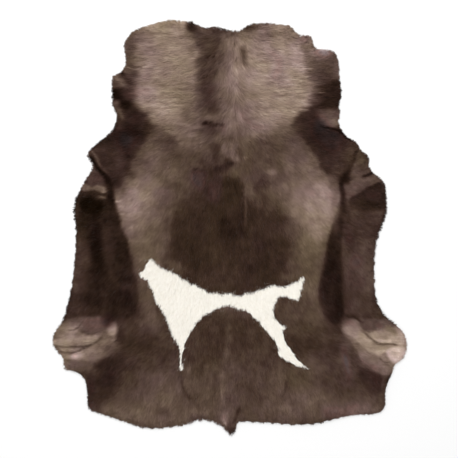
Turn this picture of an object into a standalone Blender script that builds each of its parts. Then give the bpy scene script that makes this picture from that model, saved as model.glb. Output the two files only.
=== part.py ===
"""A reindeer hide lying flat with its coat up: one lumpy slab with locks of hair at its rim.

Metres, +Z up. The hide lies on Z = 0, and the origin is in the middle of its outline. +Y points to
the neck and +X to the animal's right side. The tables and the named sizes are in millimetres.
"""

import math
from typing import NamedTuple

import bmesh
import bpy
import numpy as np
from mathutils import Vector, kdtree, noise

MM = 0.001

COLLECTION_NAME = "reindeer_hide"
NODE_NAME = "pelt"

# Skin with its lying coat
BACK_THICKNESS = 15.0
NECK_THICKNESS = 21.0
NECK_COAT_FROM = 190.0
NECK_COAT_FULL = 400.0
LEAST_THICKNESS = 4.5
EDGE_ROUNDING = 34.0

# Locks of hair along the rim: their depth, from the least share of it to the most, and how much of
# it lies outside the tables' outline. Those on the sides lean to the rump.
LOCK_DEPTH = 5.5
NECK_LOCK_DEPTH = 8.5
LOCK_LEAST = 0.55
LOCK_MOST = 1.35
LOCK_OUTSIDE = 0.65
LOCK_VARIETY = 9.0
LOCK_LEAN = 2.5
LOCK_TIP_HEIGHT = 2.5
LOCK_ROOT_HEIGHT = 5.0

# Where the surface turns more than this, its shading breaks
SHARP_ANGLE = math.radians(50)

# How far inward the ragged neck edge and the rump edge pull the grid with them
NECK_PULL = 260.0
RUMP_PULL = 220.0

# Softness of the smooth curve through a table's rows: 1 is the full Catmull-Rom curve
CURVE_TENSION = 0.8

RIM_SAMPLES = 900
FOLD_SAMPLES = 9

# The pelt's colour: the mid brown of the back, with a dry, dull coat
COAT_COLOUR = (0.105, 0.074, 0.055, 1.0)
COAT_ROUGHNESS = 0.92


class Section(NamedTuple):
    """A line across the hide: where it lies, how far the rim is to each side, and its slant.

    The left end lies half the slant nearer the neck, and the right end as much farther from it.
    """

    along: float
    left: float
    right: float
    slant: float = 0.0


class EdgePoint(NamedTuple):
    """A lobe, notch or corner of the neck edge or the rump edge."""

    across: float
    along: float


class Band(NamedTuple):
    """A stretch of grid lines, up to its end, and the width of its cells."""

    end: float
    cell: float


class Lump(NamedTuple):
    """Soft unevenness of the coat between the folds: its spacing and its rise."""

    spacing: float
    rise: float


class Fold(NamedTuple):
    """A crease, hollow or ridge: its two ends, its bow to the left, its half width and its rise."""

    place: str
    across_0: float
    along_0: float
    across_1: float
    along_1: float
    bow: float
    half_width: float
    rise: float


# From the rump to the neck
SECTIONS = (
    # along, left, right
    Section(-505, 408, 450),
    Section(-485, 409, 448),
    Section(-462, 410, 450),
    Section(-440, 414, 457),
    Section(-424, 424, 464),
    Section(-412, 441, 468),
    Section(-404, 472, 470),
    Section(-390, 477, 475),
    Section(-382, 477, 489),
    Section(-373, 480, 498),
    Section(-358, 491, 506),
    Section(-344, 502, 509),
    Section(-326, 509, 509),
    Section(-301, 505, 500),
    Section(-278, 488, 480),
    Section(-250, 473, 445),
    Section(-220, 466, 427),
    Section(-190, 459, 418),
    Section(-135, 450, 415),
    Section(-76, 444, 416),
    Section(-33, 442, 422),
    Section(10, 442, 436),
    Section(48, 446, 449),
    Section(84, 442, 450),
    Section(119, 425, 447),
    Section(140, 415, 438),
    Section(163, 398, 409),
    Section(183, 392, 399),
    Section(198, 399, 401),
    Section(212, 408, 395),
    Section(226, 401, 376),
    Section(250, 375, 363),
    Section(262, 355, 338),
    Section(284, 334, 321),
    Section(306, 326, 311),
    Section(322, 321, 314),
    Section(336, 326, 318),
    Section(350, 334, 312),
    Section(376, 335, 318),
    Section(404, 335, 318),
    Section(434, 336, 314),
    Section(441, 334, 314),
    Section(448, 314, 314),
    Section(467, 298, 313, 6),
    Section(488, 298, 312, 24),
    Section(505, 301, 310, 40),
    Section(518, 295, 308, 50),
    Section(534, 281, 305, 63),
)

# From the left corner of the neck to the right one
NECK_EDGE = (
    # across, along
    EdgePoint(-281, 565),
    EdgePoint(-252, 577),
    EdgePoint(-214, 589),
    EdgePoint(-171, 598),
    EdgePoint(-142, 593),
    EdgePoint(-108, 591),
    EdgePoint(-85, 580),
    EdgePoint(-65, 574),
    EdgePoint(-42, 580),
    EdgePoint(-21, 571),
    EdgePoint(2, 571),
    EdgePoint(22, 564),
    EdgePoint(39, 574),
    EdgePoint(59, 586),
    EdgePoint(94, 589),
    EdgePoint(131, 587),
    EdgePoint(176, 580),
    EdgePoint(186, 565),
    EdgePoint(203, 554),
    EdgePoint(234, 551),
    EdgePoint(241, 521),
    EdgePoint(262, 512),
    EdgePoint(288, 511),
    EdgePoint(305, 502),
)

# From the left corner of the rump, past the tail, to the right one
RUMP_EDGE = (
    # across, along
    EdgePoint(-408, -505),
    EdgePoint(-399, -523),
    EdgePoint(-344, -542),
    EdgePoint(-301, -556),
    EdgePoint(-258, -570),
    EdgePoint(-214, -576),
    EdgePoint(-171, -572),
    EdgePoint(-128, -562),
    EdgePoint(-91, -550),
    EdgePoint(-65, -550),
    EdgePoint(-42, -556),
    EdgePoint(-19, -569),
    EdgePoint(-4, -585),
    EdgePoint(7, -598),
    EdgePoint(15, -580),
    EdgePoint(22, -559),
    EdgePoint(40, -556),
    EdgePoint(73, -559),
    EdgePoint(131, -562),
    EdgePoint(189, -566),
    EdgePoint(246, -564),
    EdgePoint(289, -553),
    EdgePoint(332, -542),
    EdgePoint(361, -537),
    EdgePoint(412, -535),
    EdgePoint(438, -526),
    EdgePoint(450, -505),
)

# Rows of the grid from the rump to the neck, finer where the legs pucker
ROW_BANDS = (
    Band(-475, 10),
    Band(-420, 14),
    Band(-265, 11),
    Band(40, 25),
    Band(290, 14),
    Band(470, 20),
    Band(534, 11),
)

# Columns of the grid from the left rim to the right one, over the widest section
COLUMN_BANDS = (
    Band(60, 10),
    Band(170, 16),
    Band(830, 30),
    Band(940, 16),
    Band(1000, 10),
)

LUMPS = (
    Lump(95, 1.6),
    Lump(38, 0.9),
)

FOLDS = (
    # place, across_0, along_0, across_1, along_1, bow, half_width, rise
    Fold("neck, hair parted along the middle", -66, 560, -66, 230, 0, 34, -4.0),
    Fold("neck, left swell", -190, 545, -205, 285, 0, 80, 3.5),
    Fold("neck, right swell", 118, 540, 135, 300, 0, 85, 3.5),
    Fold("neck, hair turned in a whorl", -10, 525, 20, 452, 12, 17, 3.0),
    Fold("neck, crossing crease", -80, 301, -16, 297, 4, 14, -4.0),
    Fold("neck, left corner crease", -287, 492, -240, 470, 5, 12, -3.5),
    Fold("neck, right corner crease", 236, 545, 216, 505, 0, 12, -4.0),
    Fold("left neck flap, crease beside it", -306, 441, -278, 415, 5, 12, -6.0),
    Fold("left neck flap", -322, 436, -300, 405, 0, 12, 3.0),
    Fold("hollow under the left flap", -322, 398, -295, 352, 8, 17, -5.0),
    Fold("left tuft", -315, 345, -305, 318, 0, 12, 4.0),
    Fold("right tuft", 280, 336, 308, 318, 0, 15, 5.0),
    Fold("crease under the right tuft", 258, 299, 318, 282, 8, 12, -6.5),
    Fold("left foreleg, rolled edge", -399, 223, -373, 178, -6, 12, 5.0),
    Fold("left foreleg, crease", -408, 207, -360, 144, -6, 13, -8.0),
    Fold("left foreleg, crease runs back", -360, 144, -337, 82, 6, 15, -8.5),
    Fold("left trough beside the flank", -337, 82, -320, -48, -6, 20, -5.5),
    Fold("left trough along the belly", -320, -48, -290, -210, 6, 25, -4.0),
    Fold("left side strip, swell", -418, 20, -430, -205, 0, 30, 2.5),
    Fold("left side strip, hollow", -408, 68, -372, 52, 0, 17, -5.0),
    Fold("left side strip, inner hollow", -380, 40, -366, -80, 0, 15, -3.5),
    Fold("left hind leg, upper lens", -496, -329, -380, -306, -10, 21, 6.0),
    Fold("left hind leg, crease under the lens", -502, -344, -360, -311, -19, 11, -7.5),
    Fold("left hind leg, lower lobe", -468, -371, -360, -354, -8, 15, 5.0),
    Fold("left hind leg, inner end", -338, -274, -322, -338, 8, 16, 5.0),
    Fold("left hind leg, crease behind it", -390, -430, -308, -394, -6, 15, -5.0),
    Fold("right foreleg, crease at the rim", 372, 224, 347, 168, -4, 13, -6.0),
    Fold("right foreleg, crease", 347, 168, 321, 122, -4, 15, -8.5),
    Fold("right foreleg, crease runs back", 321, 122, 324, 38, 6, 17, -7.0),
    Fold("right trough beside the flank", 324, 38, 281, -105, -6, 22, -5.0),
    Fold("right trough along the belly", 281, -105, 296, -258, 10, 28, -6.0),
    Fold("right foreleg, swell", 366, 188, 350, 100, 0, 17, 4.0),
    Fold("right edge, short crease", 386, 147, 421, 165, 0, 11, -4.5),
    Fold("right edge, long crease", 350, 74, 443, 128, -8, 13, -6.0),
    Fold("right side strip, swell", 408, 30, 388, -180, 0, 30, 3.0),
    Fold("right hind leg, band", 328, -276, 468, -395, -4, 21, 7.0),
    Fold("right hind leg, crease above the band", 328, -248, 384, -276, -6, 11, -6.0),
    Fold("right hind leg, crease", 364, -304, 500, -331, 20, 11, -6.5),
    Fold("right hind leg, upper lobe", 400, -290, 494, -311, 8, 15, 5.0),
    Fold("right hind leg, lower lobe", 448, -352, 500, -350, 0, 14, 5.0),
    Fold("right hind leg, hollow behind it", 392, -425, 440, -490, 0, 20, -5.0),
    Fold("tail ridge", -4, -450, 7, -592, 0, 18, 4.0),
    Fold("rump, crease left of the tail", -124, -412, -90, -488, -6, 11, -4.0),
    Fold("rump, crease beside the tail", -52, -478, -22, -550, 4, 11, -3.5),
    Fold("rump, crease at the tail's right", 60, -478, 31, -548, -4, 11, -3.5),
    Fold("rump, crease right of the tail", 150, -505, 166, -455, 4, 11, -3.5),
    Fold("rump, swell over the back legs", 0, -330, 0, -440, 0, 105, 2.0),
)


def clear_scene() -> None:
    """Remove every object that is in the scene."""
    for thing in list(bpy.data.objects):
        bpy.data.objects.remove(thing, do_unlink=True)


def smooth_point(rows: np.ndarray, at: float) -> np.ndarray:
    """Find the point at a fractional row number, on a smooth curve through the rows."""
    last = len(rows) - 1
    row = min(int(at), last - 1)
    part = at - row
    here, following = rows[row], rows[row + 1]
    leaving = (following - rows[max(row - 1, 0)]) * CURVE_TENSION / 2
    arriving = (rows[min(row + 2, last)] - here) * CURVE_TENSION / 2
    square, cube = part**2, part**3
    return (
        here * (2 * cube - 3 * square + 1)
        + following * (3 * square - 2 * cube)
        + leaving * (cube - 2 * square + part)
        + arriving * (cube - square)
    )


def grid_lines(start: float, bands: tuple) -> list:
    """Place grid lines from a start, with the cells of each band as even as they can be."""
    lines = [start]
    for band in bands:
        first = lines[-1]
        count = round((band.end - first) / band.cell)
        lines += [first + (band.end - first) * (number + 1) / count for number in range(count)]
    return lines


def fade(distance: float, reach: float) -> float:
    """Fall from 1 at no distance to 0 at the reach."""
    return (1 - min(distance / reach, 1)) ** 2


class Outline:
    """The hide's outline: it places each crossing of the grid's lines on the flat hide."""

    def __init__(self) -> None:
        """Read the tables into curves and grid lines."""
        self.along = [section.along for section in SECTIONS]
        self.left = np.array([(-row.left, row.along + row.slant / 2) for row in SECTIONS], float)
        self.right = np.array([(row.right, row.along - row.slant / 2) for row in SECTIONS], float)
        self.neck = np.array(NECK_EDGE, float)
        self.rump = np.array(RUMP_EDGE, float)
        self.row_lines = grid_lines(self.along[0], ROW_BANDS)
        self.column_lines = grid_lines(0, COLUMN_BANDS)
        self.rows = len(self.row_lines) - 1
        self.columns = len(self.column_lines) - 1

    def edge_point(self, edge: np.ndarray, share: float) -> np.ndarray:
        """Find the point at a share of the length of the neck edge or the rump edge."""
        steps = np.linalg.norm(np.diff(edge, axis=0), axis=1)
        lengths = np.concatenate([[0], np.cumsum(steps)])
        at = np.interp(share * lengths[-1], lengths, range(len(edge)))
        return smooth_point(edge, at)

    def place(self, column: float, row: float) -> np.ndarray:
        """Place a crossing, which may lie between two lines, on the flat hide.

        The point lies on the section through it, and near the neck edge and the rump edge the
        section bends with that edge.
        """
        share = np.interp(column, range(self.columns + 1), self.column_lines) / self.column_lines[-1]
        along = np.interp(row, range(self.rows + 1), self.row_lines)
        at = np.interp(along, self.along, range(len(self.along)))
        left = smooth_point(self.left, at)
        right = smooth_point(self.right, at)
        point = left + (right - left) * share
        neck_line = self.left[-1] + (self.right[-1] - self.left[-1]) * share
        rump_line = self.left[0] + (self.right[0] - self.left[0]) * share
        point = point + (self.edge_point(self.neck, share) - neck_line) * fade(
            self.along[-1] - along, NECK_PULL
        )
        return point + (self.edge_point(self.rump, share) - rump_line) * fade(
            along - self.along[0], RUMP_PULL
        )

    def on_side(self, column: float) -> bool:
        """Tell whether a crossing lies on the left or the right rim."""
        return column in (0, self.columns)

    def on_rim(self, column: float, row: float) -> bool:
        """Tell whether a crossing lies on the rim."""
        return self.on_side(column) or row in (0, self.rows)

    def inward(self, column: float, row: float) -> np.ndarray:
        """Give the direction from a crossing on the rim to the grid's nearest inner crossing."""
        inner_column = min(max(column, 1), self.columns - 1)
        inner_row = min(max(row, 1), self.rows - 1)
        way = self.place(inner_column, inner_row) - self.place(column, row)
        return way / np.linalg.norm(way)

    def rim_tree(self) -> kdtree.KDTree:
        """Gather close points along the whole rim, for distances to it."""
        shares = np.linspace(0, 1, RIM_SAMPLES)
        points = [self.place(column, share * self.rows) for column in (0, self.columns) for share in shares]
        points += [self.place(share * self.columns, row) for row in (0, self.rows) for share in shares]
        tree = kdtree.KDTree(len(points))
        for number, point in enumerate(points):
            tree.insert((point[0], point[1], 0), number)
        tree.balance()
        return tree


def is_lock_tip(column: float, row: float) -> bool:
    """Tell the tip of a lock, halfway between two lines, from the notch beside it, on a line."""
    return column % 1 > 0 or row % 1 > 0


def lock_depth(point: np.ndarray) -> float:
    """Give the depth of the rim's locks at a point, which varies and is more in the neck's coat."""
    depth = np.interp(point[1], (NECK_COAT_FROM, NECK_COAT_FULL), (LOCK_DEPTH, NECK_LOCK_DEPTH))
    chance = 0.5 + 0.5 * noise.noise(Vector((point[0], point[1], 0)) / LOCK_VARIETY)
    return float(depth) * (LOCK_LEAST + (LOCK_MOST - LOCK_LEAST) * chance)


def rim_point(outline: Outline, column: float, row: float) -> np.ndarray:
    """Place a crossing of the rim at the tip of a lock or in the notch beside it."""
    point = outline.place(column, row)
    inward = outline.inward(column, row)
    depth = lock_depth(point)
    if not is_lock_tip(column, row):
        return point + inward * depth * (1 - LOCK_OUTSIDE)
    lean = LOCK_LEAN if outline.on_side(column) else 0
    return point - inward * depth * LOCK_OUTSIDE - np.array((0, lean))


def fold_course(fold: Fold) -> np.ndarray:
    """Place points along a fold, which runs on a shallow bow between its ends."""
    start = np.array((fold.across_0, fold.along_0))
    chord = np.array((fold.across_1, fold.along_1)) - start
    aside = np.array((-chord[1], chord[0])) / np.linalg.norm(chord)
    shares = np.linspace(0, 1, FOLD_SAMPLES)[:, None]
    return start + chord * shares + aside * fold.bow * 4 * shares * (1 - shares)


def fold_rise(course: np.ndarray, fold: Fold, point: np.ndarray) -> float:
    """Give a fold's rise at a point: full along its middle, half at its ends, none past its width."""
    steps = np.diff(course, axis=0)
    past = point - course[:-1]
    shares = np.clip((past * steps).sum(axis=1) / (steps**2).sum(axis=1), 0, 1)
    distances = np.linalg.norm(past - steps * shares[:, None], axis=1)
    nearest = int(distances.argmin())
    if distances[nearest] >= fold.half_width:
        return 0.0
    progress = (nearest + shares[nearest]) / len(steps)
    across = math.cos(distances[nearest] / fold.half_width * math.pi / 2) ** 2
    return fold.rise * across * (0.5 + 0.5 * math.sin(math.pi * progress))


def coat_height(point: np.ndarray, courses: list, rim_distance: float) -> float:
    """Give the height of the coat's top: its thickness, its folds and lumps, and its round rim."""
    thickness = np.interp(
        point[1], (NECK_COAT_FROM, NECK_COAT_FULL), (BACK_THICKNESS, NECK_THICKNESS)
    )
    folds = sum(fold_rise(course, fold, point) for course, fold in zip(courses, FOLDS))
    spot = Vector((point[0], point[1], 0))
    lumps = sum(lump.rise * noise.noise(spot / lump.spacing) for lump in LUMPS)
    inside = 1 - min(rim_distance / EDGE_ROUNDING, 1)
    rounding = math.sqrt(1 - inside**2)
    height = LOCK_ROOT_HEIGHT + (thickness + folds + lumps - LOCK_ROOT_HEIGHT) * rounding
    return max(height, LEAST_THICKNESS)


def coat_material() -> bpy.types.Material:
    """Make the pelt's material: a dull brown coat."""
    material = bpy.data.materials.new("coat")
    material.use_nodes = True
    shader = material.node_tree.nodes["Principled BSDF"]
    shader.inputs["Base Color"].default_value = COAT_COLOUR
    shader.inputs["Roughness"].default_value = COAT_ROUGHNESS
    shader.inputs["Metallic"].default_value = 0.0
    return material


def flat_sheet(outline: Outline) -> bmesh.types.BMesh:
    """Make a grid with a vertex at each crossing and, on the rim, halfway between two as well."""
    sheet = bmesh.new()
    bmesh.ops.create_grid(sheet, x_segments=outline.columns, y_segments=outline.rows, size=0.5)
    rim = [edge for edge in sheet.edges if edge.is_boundary]
    bmesh.ops.subdivide_edges(sheet, edges=rim, cuts=1)
    return sheet


def raise_coat(sheet: bmesh.types.BMesh) -> list:
    """Turn the sheet into a slab with a one-piece underside, and return the top's vertices."""
    underside = sheet.faces[:]
    raised = bmesh.ops.extrude_face_region(sheet, geom=underside)
    top = [item for item in raised["geom"] if isinstance(item, bmesh.types.BMVert)]
    bmesh.ops.dissolve_faces(sheet, faces=underside, use_verts=True)
    return top


def shape_pelt(outline: Outline) -> bmesh.types.BMesh:
    """Shape the slab: every vertex goes to its place on the hide, and the top to its height."""
    sheet = flat_sheet(outline)
    top = set(raise_coat(sheet))
    rim = outline.rim_tree()
    courses = [fold_course(fold) for fold in FOLDS]
    for vertex in sheet.verts:
        column = round((vertex.co.x + 0.5) * outline.columns * 2) / 2
        row = round((vertex.co.y + 0.5) * outline.rows * 2) / 2
        if outline.on_rim(column, row):
            point = rim_point(outline, column, row)
            height = LOCK_TIP_HEIGHT if is_lock_tip(column, row) else LOCK_ROOT_HEIGHT
        else:
            point = outline.place(column, row)
            distance = rim.find((point[0], point[1], 0))[2]
            height = coat_height(point, courses, distance)
        if vertex not in top:
            height = 0
        vertex.co = Vector((point[0], point[1], height)) * MM
    bmesh.ops.triangulate(sheet, faces=sheet.faces)
    return sheet


def build_pelt(collection: bpy.types.Collection) -> None:
    """Build the pelt, skin and coat in one solid."""
    sheet = shape_pelt(Outline())
    mesh = bpy.data.meshes.new(NODE_NAME)
    sheet.to_mesh(mesh)
    sheet.free()
    mesh.materials.append(coat_material())
    mesh.shade_smooth()
    mesh.set_sharp_from_angle(angle=SHARP_ANGLE)
    collection.objects.link(bpy.data.objects.new(NODE_NAME, mesh))


def main() -> None:
    """Build the hide in a collection of its own."""
    clear_scene()
    collection = bpy.data.collections.new(COLLECTION_NAME)
    bpy.context.scene.collection.children.link(collection)
    build_pelt(collection)


main()
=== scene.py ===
"""Dresses a reindeer hide: its suede skin, its underwool and its coat of lying hair.

Metres, +Z up. The hide lies on Z = 0 with +Y to its neck and +X to the animal's right side. The
tables of markings are in millimetres, in the same frame. Besides the coat's own colours, they hold
painted shade in its folds and hollows, and painted light on its ridges, tufts and shiny lobes.
"""

from __future__ import annotations

import logging
import math
from dataclasses import dataclass
from enum import Enum, IntEnum
from typing import Any, ClassVar, NamedTuple, Union

import bmesh
import bpy
import numpy as np
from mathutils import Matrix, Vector
from mathutils.bvhtree import BVHTree


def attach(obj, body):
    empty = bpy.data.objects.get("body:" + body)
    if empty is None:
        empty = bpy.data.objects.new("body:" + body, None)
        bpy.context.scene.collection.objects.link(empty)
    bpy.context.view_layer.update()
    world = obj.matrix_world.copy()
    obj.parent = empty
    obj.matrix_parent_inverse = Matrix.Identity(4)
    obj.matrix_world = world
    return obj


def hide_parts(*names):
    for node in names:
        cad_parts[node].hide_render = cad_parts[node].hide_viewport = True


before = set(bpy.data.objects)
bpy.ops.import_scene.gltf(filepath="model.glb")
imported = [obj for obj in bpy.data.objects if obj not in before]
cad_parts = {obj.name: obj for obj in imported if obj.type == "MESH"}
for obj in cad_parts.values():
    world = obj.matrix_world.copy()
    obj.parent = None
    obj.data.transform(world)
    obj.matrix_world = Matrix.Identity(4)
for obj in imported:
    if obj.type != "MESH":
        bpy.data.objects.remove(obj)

LOG = logging.getLogger("hide")
MM = 0.001
WELD = 0.00001

Colour = tuple[float, float, float, float]
Operand = Union["Value", float]


def paint(red: int, green: int, blue: int) -> Colour:
    """Turn a paint mixer's numbers, from 0 to 255, into the linear colour that a shader takes.

    Args:
        red: The red part.
        green: The green part.
        blue: The blue part.

    Returns:
        The linear colour, with an alpha of 1.
    """
    parts = (part / 255 for part in (red, green, blue))
    linear = (p / 12.92 if p <= 0.04045 else ((p + 0.055) / 1.055) ** 2.4 for p in parts)
    return (*linear, 1.0)


def lit(colour: Colour, share: float) -> Colour:
    """Make a colour lighter or darker by a share."""
    return (*(part * share for part in colour[:3]), 1.0)


class Zone(NamedTuple):
    """An area of the coat with a soft edge: its middle, half sizes and turn, and how it is tinted.

    Shade runs from 0, dark brown, to 1, pale taupe, and a little past both. Blush runs from -1,
    olive, over 0, plain, to 1, rosy, and to 2, grey-violet; a small spot with soft edges goes past 2.
    """

    place: str
    across: float
    along: float
    half_across: float
    half_along: float
    turn: float
    shade: float
    blush: float
    strength: float
    edge: float


class Field(NamedTuple):
    """An area of the coat that its outline draws, tinted in the way of a zone.

    Soft is half the width of its edge, and ragged is how far locks of hair break the edge up.
    """

    place: str
    shade: float
    blush: float
    soft: float
    ragged: float
    outline: tuple[tuple[int, int], ...]


class Crease(NamedTuple):
    # Dark tint in a sunken fold is painted shade; pale tint on a raised ridge is painted light.
    """A line on the coat: its half width, its tint, how deep it sinks and where it runs."""

    place: str
    half_width: float
    shade: float
    strength: float
    sink: float
    course: tuple[tuple[int, int], ...]


class Reach(NamedTuple):
    """A stretch of the rim where the hair reaches past its usual end, or stops short of it."""

    place: str
    across: float
    along: float
    half_across: float
    half_along: float
    past: float


class Lay(NamedTuple):
    """The way that the coat lies at one level: its turn from straight back, in degrees.

    The first is the turn beside the middle line, and the second the turn at the side.
    """

    along: float
    middle: float
    side: float


# The pale flanks are partly the coat's own paler hair and partly painted sheen on the lying hair.
GROUNDS = tuple(Zone(*row) for row in (
    # place, across, along, half_across, half_along, turn, shade, blush, strength, edge
    ("withers", 0, 215, 220, 100, 0, 0.42, 0.0, 0.95, 2),
    ("withers, middle", -50, 180, 90, 45, 0, 0.27, 0.2, 0.8, 1.5),
    ("neck", 0, 450, 330, 170, 0, 0.60, 0.1, 0.95, 3),
    ("left flank", -272, 70, 78, 122, 0, 0.92, 0.3, 0.95, 1.1),
    ("left flank's foot", -224, -62, 55, 95, 5, 0.55, -0.4, 0.9, 1.3),
    ("right flank", 264, 62, 86, 108, 0, 0.97, 0.2, 0.95, 1.1),
    ("right flank's foot", 230, -90, 48, 150, 0, 0.52, -0.9, 0.9, 1.5),
    ("left thigh", -240, -330, 110, 60, 0, 0.26, 0.0, 0.9, 2),
    ("right thigh", 250, -330, 100, 60, 0, 0.26, -0.4, 0.9, 2),
    ("rump, between the legs", 10, -320, 130, 80, 0, 0.295, -0.3, 0.95, 2),
    ("rump", 0, -480, 330, 85, 0, 0.43, 0.0, 0.95, 2),
))

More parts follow.
